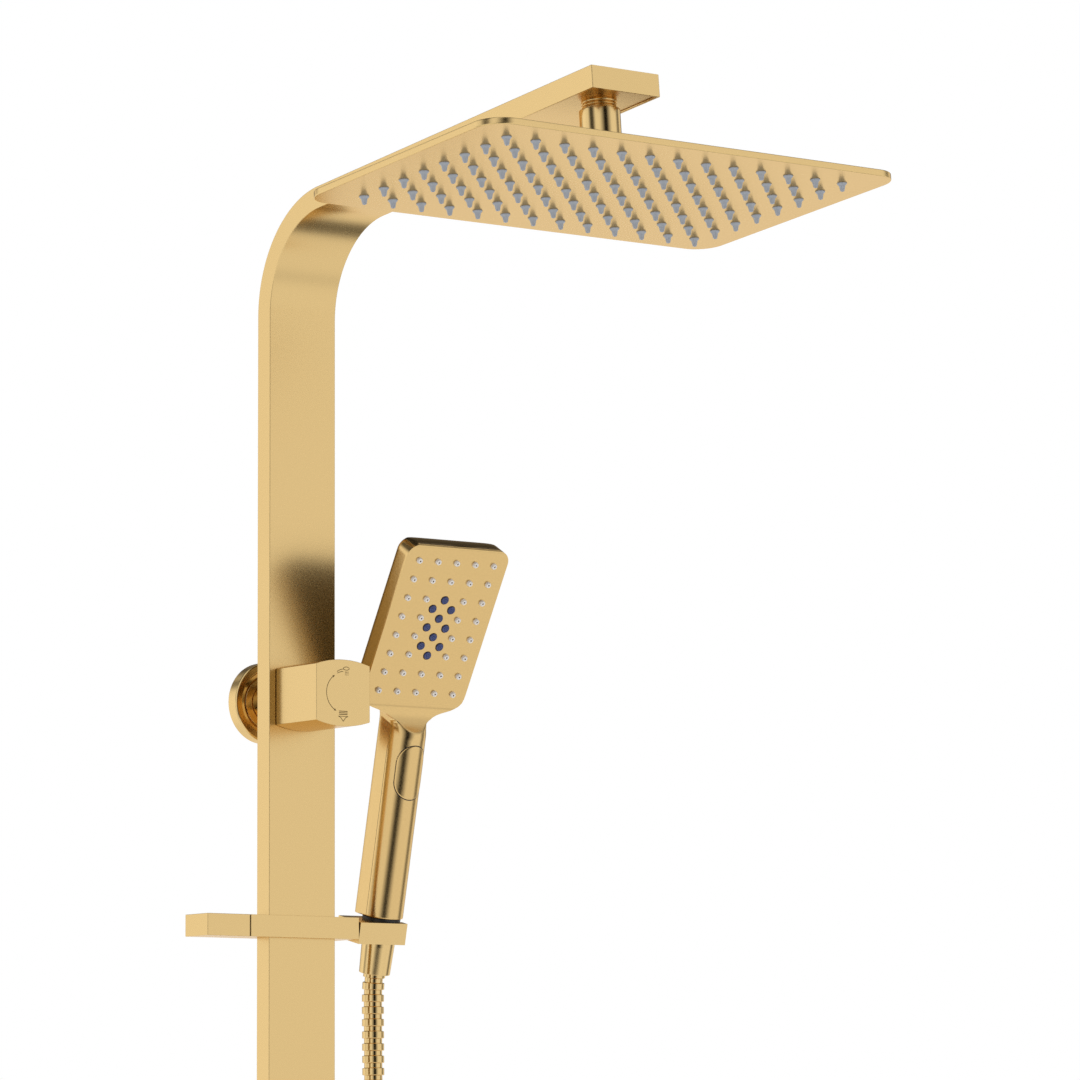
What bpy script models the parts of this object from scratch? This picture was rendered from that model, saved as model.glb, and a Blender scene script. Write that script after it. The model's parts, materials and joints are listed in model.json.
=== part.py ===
"""Rainfall shower column: wall-fed flat riser with rain head, diverter, slider and hand shower.

Frame: +Z up, the wall is the plane Y = 0, the arm points to -Y, X is the width.
The origin is the centre of the upper wall inlet, on the wall.
"""
from math import atan2, cos, hypot, pi, radians, sin

import bmesh
import bpy
from mathutils import Matrix, Vector

MM = 0.001
GAP = 0.3

# riser column and arm (mm, degrees)
COL_W = 50.0
COL_T = 14.0
COL_FRONT = 46.2
COL_WALL = 1.8
COL_EDGE = 1.0
COL_BOTTOM = -900.0
BEND_OUT = 75.0
ARM_SLOPE = 5.5
ARM_END = 389.0
ARM_TOP = 346.0

# rain head
HEAD_W = 300.0
HEAD_D = 190.0
HEAD_T = 4.0
HEAD_R = 18.0
HEAD_Y = 367.2
HEAD_Z = 278.3
HEAD_TILT = 4.9
HEAD_PITCH = 20.55
HEAD_COLS = 13
HEAD_ROWS = 8

# neck and ball
RING_R = 12.25
THROAT_R = 10.7
NUT_R = 12.35
BALL_R = 8.0
BALL_Z = 306.0

# inlet and diverter
FLANGE_R = 26.0
FLANGE_T = 9.0
TUBE_R = 12.0
KNOB_W = 40.6
KNOB_H = 42.0
KNOB_SIDE = 35.5
KNOB_BACK = 46.8
KNOB_FRONT = 92.4

# slider
SLIDE_Z = -145.5
SLIDE_H = 13.8
SLIDE_FRONT = 50.0
SLIDE_BACK = 24.0
BAR_X = 41.0
CLAMP_X = 73.2
CRADLE_X0 = 41.5
CRADLE_X1 = 77.5

# hand shower
HS_X = 66.5
HS_LEAN = 12.85
FACE_LEAN = 30.3
FACE_Y = 100.0
FACE_Z = 45.7
FACE_W = 78.0
FACE_TOP = 57.0
FACE_T = 12.5
HS_PX = 14.37
HS_PY = 12.96
HANDLE_R = 13.0

# hose
HOSE_D = 14.0
HOSE_LEN = 1500.0
OUTLET_Z = -922.0

COLOURS = {
    "gold": (0.72, 0.53, 0.24, 1.0, 0.28),
    "brass": (0.62, 0.46, 0.2, 1.0, 0.4),
    "silicone": (0.45, 0.5, 0.56, 0.0, 0.6),
    "pale": (0.8, 0.8, 0.78, 0.0, 0.6),
    "blue": (0.1, 0.35, 0.7, 0.0, 0.5),
    "black": (0.03, 0.03, 0.03, 0.0, 0.5),
    "steel": (0.6, 0.6, 0.62, 1.0, 0.3),
}


def clear_scene():
    for ob in list(bpy.data.objects):
        bpy.data.objects.remove(ob, do_unlink=True)


clear_scene()
PARTS = bpy.data.collections.new("rainfall_shower_column")
CUTTERS = bpy.data.collections.new("cutters")
bpy.context.scene.collection.children.link(PARTS)
bpy.context.scene.collection.children.link(CUTTERS)


def material(name, kind):
    r, g, b, metal, rough = COLOURS[kind]
    mat = bpy.data.materials.new(name)
    mat.use_nodes = True
    shader = mat.node_tree.nodes["Principled BSDF"]
    shader.inputs["Base Color"].default_value = (r, g, b, 1.0)
    shader.inputs["Metallic"].default_value = metal
    shader.inputs["Roughness"].default_value = rough
    return mat


def finish_mesh(name, bm, kind, cutter=False):
    """Scale a millimetre bmesh to metres, close it up and link it as one object."""
    bmesh.ops.remove_doubles(bm, verts=bm.verts, dist=1e-4)
    bmesh.ops.recalc_face_normals(bm, faces=bm.faces)
    bmesh.ops.scale(bm, vec=(MM, MM, MM), verts=bm.verts)
    mesh = bpy.data.meshes.new(name)
    bm.to_mesh(mesh)
    bm.free()
    ob = bpy.data.objects.new(name, mesh)
    if cutter:
        CUTTERS.objects.link(ob)
        ob.hide_render = True
        ob.display_type = "WIRE"
    else:
        mesh.materials.append(material(name + "_mat", kind))
        PARTS.objects.link(ob)
    return ob


def loft_into(bm, rings, closed=False):
    """Skin rings of equal count; open lofts get flat caps."""
    rows = [[bm.verts.new(p) for p in ring] for ring in rings]
    n = len(rows[0])
    pairs = list(zip(rows, rows[1:]))
    if closed:
        pairs.append((rows[-1], rows[0]))
    for a, b in pairs:
        for i in range(n):
            j = (i + 1) % n
            bm.faces.new((a[i], a[j], b[j], b[i]))
    if not closed:
        bm.faces.new(rows[0][::-1])
        bm.faces.new(rows[-1])


def loft(name, rings, kind, closed=False, cutter=False):
    bm = bmesh.new()
    loft_into(bm, rings, closed)
    return finish_mesh(name, bm, kind, cutter)


def rounded_rect(w, h, r, steps=3):
    """Corner points of a w x h rectangle about its centre, anticlockwise."""
    pts = []
    for sx, sy, a0 in ((1, 1, 0), (-1, 1, 90), (-1, -1, 180), (1, -1, 270)):
        for k in range(steps + 1):
            a = radians(a0 + 90.0 * k / steps)
            pts.append((sx * (w / 2 - r) + r * cos(a), sy * (h / 2 - r) + r * sin(a)))
    return pts


def box_rings(x0, x1, y0, y1, z0, z1, r, steps=2):
    """Two rings of a rounded bar whose length runs along X."""
    cy, cz = (y0 + y1) / 2, (z0 + z1) / 2
    sec = rounded_rect(y1 - y0, z1 - z0, r, steps)
    return [[(x, cy + a, cz + b) for a, b in sec] for x in (x0, x1)]


def axis_frame(point, axis, across=(1, 0, 0)):
    """Matrix (mm) whose local Z runs along axis and local X near across."""
    z = Vector(axis).normalized()
    x = (Vector(across) - z * Vector(across).dot(z)).normalized()
    y = z.cross(x)
    rot = Matrix((x, y, z)).transposed().to_4x4()
    return Matrix.Translation(Vector(point)) @ rot


def lathe_into(bm, profile, frame, steps, ring=False):
    """Turn an (r, z) profile about the frame's local Z."""
    verts = [bm.verts.new((r, 0.0, z)) for r, z in profile]
    edges = [bm.edges.new(e) for e in zip(verts, verts[1:])]
    if ring:
        edges.append(bm.edges.new((verts[-1], verts[0])))
    geom = bmesh.ops.spin(
        bm, geom=verts + edges, cent=(0, 0, 0), axis=(0, 0, 1), angle=2 * pi,
        steps=steps, use_merge=True)
    bmesh.ops.remove_doubles(bm, verts=bm.verts, dist=1e-4)
    bmesh.ops.transform(bm, matrix=frame, verts=bm.verts)
    return geom


def lathe(name, profile, frame, kind, steps=24, ring=False, cutter=False):
    bm = bmesh.new()
    lathe_into(bm, profile, frame, steps, ring)
    return finish_mesh(name, bm, kind, cutter)


def disc_profile(r, z0, z1, c=0.4):
    """Solid cylinder with small chamfers."""
    return [(0, z1), (r - c, z1), (r, z1 - c), (r, z0 + c), (r - c, z0), (0, z0)]


def tube_profile(r, bore, z0, z1, c=0.3):
    """Hollow cylinder with small outer chamfers."""
    return [(bore, z1), (r - c, z1), (r, z1 - c), (r, z0 + c), (r - c, z0), (bore, z0)]


def cut(ob, cutter, operation="DIFFERENCE"):
    mod = ob.modifiers.new(operation.lower(), "BOOLEAN")
    mod.operation = operation
    mod.solver = "EXACT"
    mod.object = cutter
    return ob


def put_origin(ob, point):
    """Move the object's origin to a point in mm without moving its surface."""
    p = Vector(point) * MM
    ob.data.transform(Matrix.Translation(-p))
    ob.location = p


# ---------------------------------------------------------------- column path

SLOPE = radians(ARM_SLOPE)
ARM_D = Vector((0, -cos(SLOPE), sin(SLOPE)))
ARM_N = Vector((0, sin(SLOPE), cos(SLOPE)))
COL_BACK = COL_FRONT - COL_T
COL_MID = COL_FRONT - COL_T / 2
BEND_Y = -(COL_BACK + BEND_OUT)
BEND_RUN = (ARM_END + BEND_Y + sin(SLOPE) * BEND_OUT) / cos(SLOPE)
BEND_Z = ARM_TOP - BEND_RUN * sin(SLOPE) - cos(SLOPE) * BEND_OUT


def column_path(r, start, trim, arcs=12):
    """(point, outward normal) stations at radius r from the bend centre."""
    out = Vector((0, 1, 0))
    path = [(Vector((0, BEND_Y + r, start)), out)]
    turn = pi / 2 - SLOPE
    for k in range(arcs + 1):
        a = turn * k / arcs
        n = Vector((0, cos(a), sin(a)))
        path.append((Vector((0, BEND_Y, BEND_Z)) + n * r, n))
    end = path[-1][0] + ARM_D * (BEND_RUN - trim)
    path.append((end, path[-1][1]))
    return path


def column_rings(w, t, edge, start, trim):
    """Rounded rectangles along the column centre line."""
    rings = []
    sec = rounded_rect(w, t, edge, 2)
    for p, n in column_path(BEND_OUT - COL_T / 2, start, trim):
        rings.append([p + Vector((a, 0, 0)) + n * b for a, b in sec])
    return rings


def make_column():
    outer = column_rings(COL_W, COL_T, COL_EDGE, COL_BOTTOM, 0)
    ob = loft("riser_column", outer, "gold")
    w, t = COL_W - 2 * COL_WALL, COL_T - 2 * COL_WALL
    inner = column_rings(w, t, 0.8, COL_BOTTOM - 5, COL_WALL)
    cut(ob, loft("cut_column_hollow", inner, "gold", cutter=True))
    base = Vector((0, -ARM_END, ARM_TOP)) - ARM_N * COL_T
    rings = []
    for s in (COL_WALL, 99.0):
        p = base - ARM_D * s
        sec = rounded_rect(w, 6.0, 0.6, 2)
        rings.append([p + Vector((a, 0, 0)) + ARM_N * b for a, b in sec])
    cut(ob, loft("cut_arm_opening", rings, "gold", cutter=True))
    back = axis_frame((0, -COL_MID, 0), (0, 1, 0))
    cut(ob, lathe("cut_inlet", disc_profile(TUBE_R - 0.4, 0, 12, 0.1), back, "gold", 24, cutter=True))
    front = axis_frame((0, -COL_MID, 0), (0, -1, 0))
    cut(ob, lathe("cut_diverter", disc_profile(9.3, 0, 12, 0.1), front, "gold", 24, cutter=True))
    low = axis_frame((0, -COL_MID, LOW_Z), (0, 1, 0))
    cut(ob, lathe("cut_low_screw", disc_profile(3.3, 0, 12, 0.1), low, "gold", 16, cutter=True))
    return ob


LOW_Z = -800.0


def pipe(name, route, r, bore, kind, sides=12):
    """Hollow pipe through route points (mm) in the YZ plane."""
    def rings(radius, lengthen):
        out = []
        for i, p in enumerate(route):
            a = route[max(i - 1, 0)]
            b = route[min(i + 1, len(route) - 1)]
            d = (b - a).normalized()
            q = p
            if lengthen and i == 0:
                q = p - d * lengthen
            if lengthen and i == len(route) - 1:
                q = p + d * lengthen
            side = Vector((1, 0, 0))
            up = d.cross(side).normalized()
            ring = []
            for k in range(sides):
                t = 2 * pi * k / sides
                ring.append(q + side * (radius * cos(t)) + up * (radius * sin(t)))
            out.append(ring)
        return out
    ob = loft(name, rings(r, 0), kind)
    cut(ob, loft("cut_" + name, rings(bore, 1.0), kind, cutter=True))
    return ob


def make_pipes():
    mid = BEND_OUT - COL_T / 2
    route = [p for p, _ in column_path(mid, 14.0, 62.0, 8)]
    pipe("upper_water_pipe", route, 4.5, 3.3, "brass")
    low = [Vector((x, -COL_MID, z)) for x, z in ((0, -14.0), (0, -30.0), (13.0, -75.0), (13.0, -450.0),
                                                 (13.0, -825.0), (0, -870.0), (0, COL_BOTTOM + 14.5))]
    pipe("lower_water_pipe", low, 4.5, 3.3, "brass")


def make_inlet():
    """Wall flange, connector tube, washer and diverter cartridge, all about the Y axis."""
    wall = axis_frame((0, 0, 0), (0, -1, 0))
    r, t = FLANGE_R, FLANGE_T
    flange = [(TUBE_R + GAP, t - 2.5), (16.2, t - 2.5), (16.8, t), (r - 0.8, t),
              (r, t - 0.8), (r, 0.0), (22.0, 0.0), (22.0, t - 5.0), (TUBE_R + GAP, t - 5.0)]
    lathe("wall_flange", flange, wall, "gold", 28, ring=True)
    lathe("inlet_tube", tube_profile(TUBE_R, 8.0, 0.0, COL_BACK - GAP), wall, "gold", 32, ring=True)
    lathe("inlet_washer", [(11.2, COL_BACK + 1.2), (11.2, COL_BACK), (5.0, COL_BACK), (5.0, COL_BACK + 1.2)],
          wall, "black", 24, ring=True)
    face = COL_FRONT - COL_WALL
    valve = [(0, COL_FRONT + 3.0), (8.9, COL_FRONT + 3.0), (8.9, face), (8.9, face - 1.0),
             (10.6, face - 1.0), (10.6, COL_BACK + COL_WALL + 0.3), (3.5, COL_BACK + COL_WALL + 0.3),
             (3.5, COL_BACK + 6.0), (0, COL_BACK + 6.0)]
    lathe("diverter_cartridge", valve, wall, "brass", 24)


def knob_outline(w, h, side, steps=8):
    """Flat sides, shallow arcs above and below: anticlockwise (x, z)."""
    sag = (h - side) / 2
    half = w / 2
    rad = (half * half + sag * sag) / (2 * sag)
    a = atan2(half, rad - sag)
    top = [(rad * sin(t), side / 2 + sag - rad + rad * cos(t))
           for t in (a - 2 * a * k / steps for k in range(steps + 1))]
    return top + [(-x, -z) for x, z in top]


def prism(name, outline, y0, y1, kind, edge=0.8, cutter=False):
    """Extrude an (x, z) outline along -Y from y0 to y1 with a small front chamfer."""
    def ring(y, inset):
        pts = []
        for x, z in outline:
            m = hypot(x, z)
            pts.append((x * (1 - inset / m), -y, z * (1 - inset / m)))
        return pts
    rings = [ring(y0, 0), ring(y1 - edge, 0), ring(y1, edge)]
    return loft(name, rings, kind, cutter=cutter)


def make_diverter():
    out = knob_outline(KNOB_W, KNOB_H, KNOB_SIDE)
    front = axis_frame((0, 0, 0), (0, -1, 0))
    low, top = COL_FRONT + GAP, COL_FRONT + 4.2
    ring = [(9.3, low), (9.3, top), (13.1, top), (13.5, top - 0.4), (13.5, low)]
    lathe("diverter_base", ring, front, "gold", 24, ring=True)
    knob = prism("diverter_knob", out, KNOB_BACK, KNOB_FRONT, "gold", 1.0)
    cup = lathe("cut_knob_cup", disc_profile(14.0, KNOB_BACK - 2, KNOB_BACK + 16, 0.1), front,
                "gold", 24, cutter=True)
    cut(knob, cup)
    socket = lathe("cut_knob_socket", disc_profile(4.3, KNOB_BACK + 10, KNOB_BACK + 26, 0.1), front,
                   "gold", 16, cutter=True)
    cut(knob, socket)
    under = axis_frame((0, -(KNOB_BACK + 21), 0), (0, 0, -1))
    cut(knob, lathe("cut_knob_screw", disc_profile(2.3, 2.0, 30, 0.1), under, "gold", 12, cutter=True))
    put_origin(knob, (0, -COL_FRONT, 0))
    stem = [(0, KNOB_BACK + 25.5), (4.0, KNOB_BACK + 25.5), (4.0, KNOB_BACK + 4), (6.5, KNOB_BACK + 4),
            (6.5, COL_FRONT + 3.3), (0, COL_FRONT + 3.3)]
    spindle = lathe("diverter_spindle", stem, front, "brass", 20)
    put_origin(spindle, (0, -COL_FRONT, 0))
    screw = lathe("knob_grub_screw", disc_profile(2.0, 4.4, 16.0, 0.3), under, "steel", 12)
    put_origin(screw, (0, -COL_FRONT, 0))


def make_low_bracket():
    wall = axis_frame((0, 0, LOW_Z), (0, -1, 0))
    r, t = FLANGE_R, FLANGE_T
    flange = [(TUBE_R + GAP, t - 2.5), (16.2, t - 2.5), (16.8, t), (r - 0.8, t),
              (r, t - 0.8), (r, 0.0), (22.0, 0.0), (22.0, t - 5.0), (TUBE_R + GAP, t - 5.0)]
    lathe("lower_wall_flange", flange, wall, "gold", 28, ring=True)
    post = tube_profile(TUBE_R, 2.6, 0.0, COL_BACK - GAP)
    lathe("lower_bracket_post", post, wall, "gold", 32, ring=True)
    screw = [(0, COL_BACK + COL_WALL + 3.0), (4.6, COL_BACK + COL_WALL + 3.0), (5.0, COL_BACK + COL_WALL + 2.4),
             (5.0, COL_BACK + COL_WALL + 0.3), (2.3, COL_BACK + COL_WALL + 0.3), (2.3, 10.0), (1.6, 8.0),
             (0, 8.0)]
    lathe("lower_bracket_screw", screw, wall, "steel", 16)


# ---------------------------------------------------------------- rain head

TILT = radians(HEAD_TILT)
HEAD_FWD = Vector((0, -cos(TILT), sin(TILT)))
HEAD_UP = Vector((0, sin(TILT), cos(TILT)))
HEAD_C = Vector((0, -HEAD_Y, HEAD_Z))
BALL_C = HEAD_C + HEAD_UP * ((BALL_Z - HEAD_Z) / cos(TILT))


def head_frame(up=0.0):
    """Local X width, local Y towards the wall, local Z up out of the head."""
    rot = Matrix((Vector((1, 0, 0)), -HEAD_FWD, HEAD_UP)).transposed().to_4x4()
    return Matrix.Translation(HEAD_C + HEAD_UP * up) @ rot


def plate(name, outline, levels, frame, kind, cutter=False):
    """Stack an (x, y) outline at (z, inset) levels in a frame."""
    rings = []
    for z, inset in levels:
        ring = []
        for x, y in outline:
            m = hypot(x, y)
            k = 1 - inset / m
            ring.append(frame @ Vector((x * k, y * k, z)))
        rings.append(ring)
    return loft(name, rings, kind, cutter=cutter)


def cones(name, spots, frame, z0, z1, r0, r1, kind, sides=6, cutter=True):
    """Many small separate cones in one mesh, used to cut or to join."""
    bm = bmesh.new()
    for x, y in spots:
        lo, hi = [], []
        for k in range(sides):
            a = 2 * pi * (k + 0.5) / sides
            lo.append(frame @ Vector((x + r0 * cos(a), y + r0 * sin(a), z0)))
            hi.append(frame @ Vector((x + r1 * cos(a), y + r1 * sin(a), z1)))
        loft_into(bm, [hi, lo])
    return finish_mesh(name, bm, kind, cutter)


def head_spots():
    return [((i - (HEAD_COLS - 1) / 2) * HEAD_PITCH, (j - (HEAD_ROWS - 1) / 2) * HEAD_PITCH)
            for i in range(HEAD_COLS) for j in range(HEAD_ROWS)]


def make_head():
    outline = rounded_rect(HEAD_W, HEAD_D, HEAD_R, 6)
    small = rounded_rect(HEAD_W - 12, HEAD_D - 12, HEAD_R - 6, 4)
    frame = head_frame()
    spots = head_spots()
    low = plate("head_faceplate", outline, [(0, 0.5), (0.5, 0), (1.6, 0)], frame, "gold")
    cut(low, cones("cut_head_holes", spots, frame, -1, 3, 3.2, 3.2, "gold"))
    mat = plate("head_nozzle_mat", small, [(1.8, 0), (2.5, 0)], frame, "silicone")
    cut(mat, cones("add_head_nozzles", spots, frame, -5.0, 2.0, 1.0, 2.85, "silicone"), "UNION")
    cover = plate("head_cover", outline, [(1.8, 0), (3.6, 0), (HEAD_T, 0.6)], frame, "gold")
    cut(cover, plate("cut_cover_pocket", rounded_rect(HEAD_W - 11, HEAD_D - 11, HEAD_R - 5, 4),
                     [(1.0, 0), (2.8, 0)], frame, "gold", cutter=True))
    cut(cover, lathe("cut_cover_bore", disc_profile(6.3, 1.0, 12, 0.1), frame, "gold", 20, cutter=True))
    hub = [(6.3, 5.7), (18.0, 5.7), (22.0, 4.3), (6.3, 4.3)]
    lathe("head_hub_ring", hub, frame, "gold", 32, ring=True)
    b = (BALL_C - HEAD_C).dot(HEAD_UP)
    arc = [(BALL_R * sin(t), b + BALL_R * cos(t)) for t in (pi * k / 12 for k in range(1, 10))]
    ball = [(0, b + BALL_R), *arc, (4.4, b - 8.6), (4.4, 9.0), (9.0, 6.0), (6.0, 6.0), (6.0, 3.1), (0, 3.1)]
    ball = [p for p in ball if not (p[1] < b and p[0] < 4.4 and p[1] > 9)]
    lathe("head_ball", ball, frame, "gold", 20)
    make_neck()
    for name in ("head_faceplate", "head_nozzle_mat", "head_cover", "head_hub_ring", "head_ball",
                 "ball_seat_upper", "ball_seat_lower"):
        put_origin(bpy.data.objects[name], BALL_C)


def zone(r0, r1, lat, b):
    """Ring-shaped profile of a spherical shell between latitudes -lat and lat."""
    outer = [(r1 * cos(radians(t)), b + r1 * sin(radians(t))) for t in (lat, lat / 2, 0, -lat / 2, -lat)]
    inner = [(r0 * cos(radians(t)), b + r0 * sin(radians(t))) for t in (-lat, -lat / 2, 0, lat / 2, lat)]
    return outer + inner


def make_neck():
    """Stem inside the arm, grooved throat and ball nut, all along the head's axis."""
    frame = axis_frame(BALL_C, HEAD_UP)
    lathe("ball_seat_upper", zone(9.3, 10.0, 22, 0), frame, "black", 16, ring=True)
    lathe("ball_seat_lower", zone(8.3, 9.0, 22, 0), frame, "black", 16, ring=True)
    nut_top = 20.7
    nut = [(8.0, nut_top), (NUT_R - 0.8, nut_top), (NUT_R, nut_top - 0.8), (NUT_R, -6.0), (NUT_R - 1, -8.0),
           (7.8, -8.0), (7.8, -7.0), (10.4, -2.0), (10.4, 9.0), (8.0, 9.0)]
    lathe("ball_nut", nut, frame, "gold", 24, ring=True)
    t, r = THROAT_R, RING_R
    base = nut_top + 0.3
    stem = [(4.0, 34.5), (r, 34.5), (r, base + 5.6), (t + 0.2, base + 4.9), (t, base + 4.4), (t, base + 3.9),
            (t - 0.7, base + 3.5), (t - 0.7, base + 3.1), (t, base + 2.7), (t, base + 1.9),
            (t - 0.7, base + 1.5), (t - 0.7, base + 1.1), (t, base + 0.7), (t, base),
            (7.6, base), (7.6, 9.4), (4.0, 9.4)]
    lathe("neck_stem", stem, frame, "gold", 20, ring=True)


# ---------------------------------------------------------------- slider

def bar(name, x0, x1, kind, r=0.8, cutter=False, y0=-SLIDE_FRONT, y1=-SLIDE_BACK, h=SLIDE_H):
    rings = box_rings(x0, x1, y0, y1, SLIDE_Z - h / 2, SLIDE_Z + h / 2, r)
    return loft(name, rings, kind, cutter=cutter)


PIVOT = Vector((0, -(SLIDE_FRONT + SLIDE_BACK) / 2, SLIDE_Z))
LEAN = radians(HS_LEAN)
LEAN_UP = Vector((0, -sin(LEAN), cos(LEAN)))
LEAN_BACK = Vector((0, cos(LEAN), sin(LEAN)))
CONE_C = Vector((HS_X, 0, 0)) + PIVOT
CONE_F = axis_frame(CONE_C, LEAN_UP)


def make_slider():
    body = bar("slider_body", -BAR_X, BAR_X, "gold")
    slot = box_rings(-COL_W / 2 - 0.5, COL_W / 2 + 0.5, -COL_FRONT - 0.5, -COL_BACK + 0.5,
                     SLIDE_Z - 20, SLIDE_Z + 20, 1.0)
    cut(body, loft("cut_slider_slot", slot, "gold", cutter=True))
    axle = axis_frame(PIVOT, (1, 0, 0), (0, 1, 0))
    cut(body, lathe("cut_clamp_bore", disc_profile(4.4, -60, -20, 0.1), axle, "gold", 16, cutter=True))
    cut(body, lathe("cut_pivot_bore", disc_profile(4.4, 32, 60, 0.1), axle, "gold", 16, cutter=True))
    knob = bar("clamp_knob", -CLAMP_X, -BAR_X - 0.5, "gold")
    cut(knob, lathe("cut_clamp_socket", disc_profile(3.3, -58, -30, 0.1), axle, "gold", 16, cutter=True))
    screw = [(0, -27.4), (4.0, -27.4), (4.0, -40.8), (3.0, -40.8), (3.0, -57.6), (0, -57.6)]
    lathe("clamp_screw", screw, axle, "brass", 16)
    lathe("clamp_pad", disc_profile(3.9, -27.2, -25.7, 0.2), axle, "black", 16)
    make_cradle(axle)
    pin = [(0, 47.0), (3.0, 47.0), (3.0, 41.2), (4.1, 41.2), (4.1, 32.3), (0, 32.3)]
    lathe("cradle_pivot", pin, axle, "brass", 16)
    for name in ("slider_body", "clamp_pad", "cradle_pivot", "clamp_knob", "clamp_screw", "cradle",
                 "cradle_bush"):
        put_origin(bpy.data.objects[name], PIVOT)


def make_cradle(axle):
    """Holder block: the bar's own section, tilted with the hand shower, with a conical bore."""
    half = (SLIDE_FRONT - SLIDE_BACK) / 2
    rings = []
    for x in (CRADLE_X0, CRADLE_X1):
        sec = rounded_rect(2 * half, SLIDE_H, 0.8, 2)
        rings.append([PIVOT + Vector((x, 0, 0)) + LEAN_BACK * a + LEAN_UP * b for a, b in sec])
    cradle = loft("cradle", rings, "gold")
    cut(cradle, lathe("cut_cradle_bore", [(0, 12), (12.15, 12), (11.85, -12), (0, -12)], CONE_F, "gold", 32,
                      cutter=True))
    cut(cradle, lathe("cut_cradle_pin", disc_profile(3.3, 40, 47.3, 0.1), axle, "gold", 16, cutter=True))
    sec = [(0, -7.6), (40, -7.6), (40, 7.6), (0, 7.6)]
    slot = [[CONE_C + Vector((a, 0, 0)) + LEAN_BACK * b + LEAN_UP * s for a, b in sec] for s in (-20, 20)]
    gate = loft("cut_cradle_gate", slot, "gold", cutter=True)
    cut(cradle, gate)
    bush = [(11.15, 9.3), (12.3, 9.3), (12.3, 7.2), (11.8, 7.2), (11.6, -6.9), (10.95, -6.9)]
    ring = lathe("cradle_bush", bush, CONE_F, "black", 32, ring=True)
    cut(ring, gate)


# ---------------------------------------------------------------- hand shower

FACE = radians(FACE_LEAN)
FACE_DOWN = Vector((0, sin(FACE), -cos(FACE)))
FACE_N = Vector((0, -cos(FACE), -sin(FACE)))
FACE_C = Vector((HS_X, -FACE_Y, FACE_Z))


def face_frame():
    """Local X width, local Y up the face, local Z out of the face."""
    rot = Matrix((Vector((1, 0, 0)), -FACE_DOWN, FACE_N)).transposed().to_4x4()
    return Matrix.Translation(FACE_C) @ rot


def handle_point(s):
    """Point on the handle's axis at height s above the cradle's centre."""
    return CONE_C + LEAN_UP * s


def spine():
    """Stations up the hand shower: centre, up direction, half width, front, back, flatness."""
    rows = []
    for s in (9.7, 60.0, 105.0, 124.0):
        rows.append((handle_point(s), LEAN_UP, HANDLE_R, HANDLE_R, HANDLE_R, 0.0))
    for y, d, w, df, db, f, mix in (
            (-71.0, 2.0, 13.2, 12.4, 13.0, 0.08, 0.25), (-63.0, -1.2, 15.5, 8.7, 11.6, 0.35, 0.6),
            (-59.5, -2.8, 22.0, 6.8, 9.9, 0.6, 0.85), (-56.0, -4.2, 29.0, 5.4, 8.4, 0.85, 1.0),
            (-52.0, -5.0, 34.5, 5.0, 7.5, 1.0, 1.0), (-47.0, -5.0, 37.8, 5.0, 7.5, 1.0, 1.0),
            (-40.0, -5.0, 39.0, 5.0, 7.5, 1.0, 1.0), (46.0, -5.0, 39.0, 5.0, 7.5, 1.0, 1.0),
            (52.0, -5.0, 37.6, 5.0, 7.2, 1.0, 1.0), (55.6, -5.0, 34.2, 5.0, 6.6, 1.0, 1.0),
            (FACE_TOP, -5.0, 30.0, 5.0, 5.6, 1.0, 1.0)):
        up = (LEAN_UP * (1 - mix) - FACE_DOWN * mix).normalized()
        rows.append((FACE_C - FACE_DOWN * y + FACE_N * d, up, w, df, db, f))
    return rows


def half_section(w, depth, flat, side, steps=8):
    """Points (x, out) from (w, 0) round to (-w, 0): round when flat = 0, boxy when flat = 1."""
    pts = []
    for k in range(steps + 1):
        t = pi * k / steps
        x, o = cos(t), sin(t)
        e = 0.18 if side else 1.0 - 0.82 * flat
        px = abs(x) ** e * (1 if x >= 0 else -1)
        po = abs(o) ** e
        pts.append((w * px, depth * po))
    return pts


def shell(name, front, kind):
    rings = []
    for p, up, w, df, db, flat in spine():
        out = Vector((1, 0, 0)).cross(up)
        out = out if out.y < 0 else -out
        depth = df if front else db
        sec = half_section(w, depth - 0.15, flat, not front)
        sign = 1 if front else -1
        rings.append([p + Vector((x, 0, 0)) + out * (sign * (o + 0.15)) for x, o in sec])
    return loft(name, rings, kind)


def face_outline(grow=0.0):
    """Inset face plate: rounded rectangle (x, y), a little above the grid's centre."""
    w = FACE_W - 3.0 + 2 * grow
    top, low = 54.6 + grow, -52.2 - grow
    return [(x, y + (top + low) / 2) for x, y in rounded_rect(w, top - low, 9.0 + grow, 4)]


def hand_spots():
    cols = [(i - 2) * HS_PX for i in range(5)]
    rows = [(3.5 - j) * HS_PY for j in range(8)]
    pale = [(x, y) for i, x in enumerate(cols) for j, y in enumerate(rows) if not (i == 2 and 2 <= j <= 5)]
    blue = [(0.0, rows[j]) for j in (2, 3, 4, 5)]
    blue += [(s * HS_PX / 2, (rows[j] + rows[j + 1]) / 2) for j in (2, 3, 4) for s in (-1, 1)]
    return pale, blue


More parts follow.
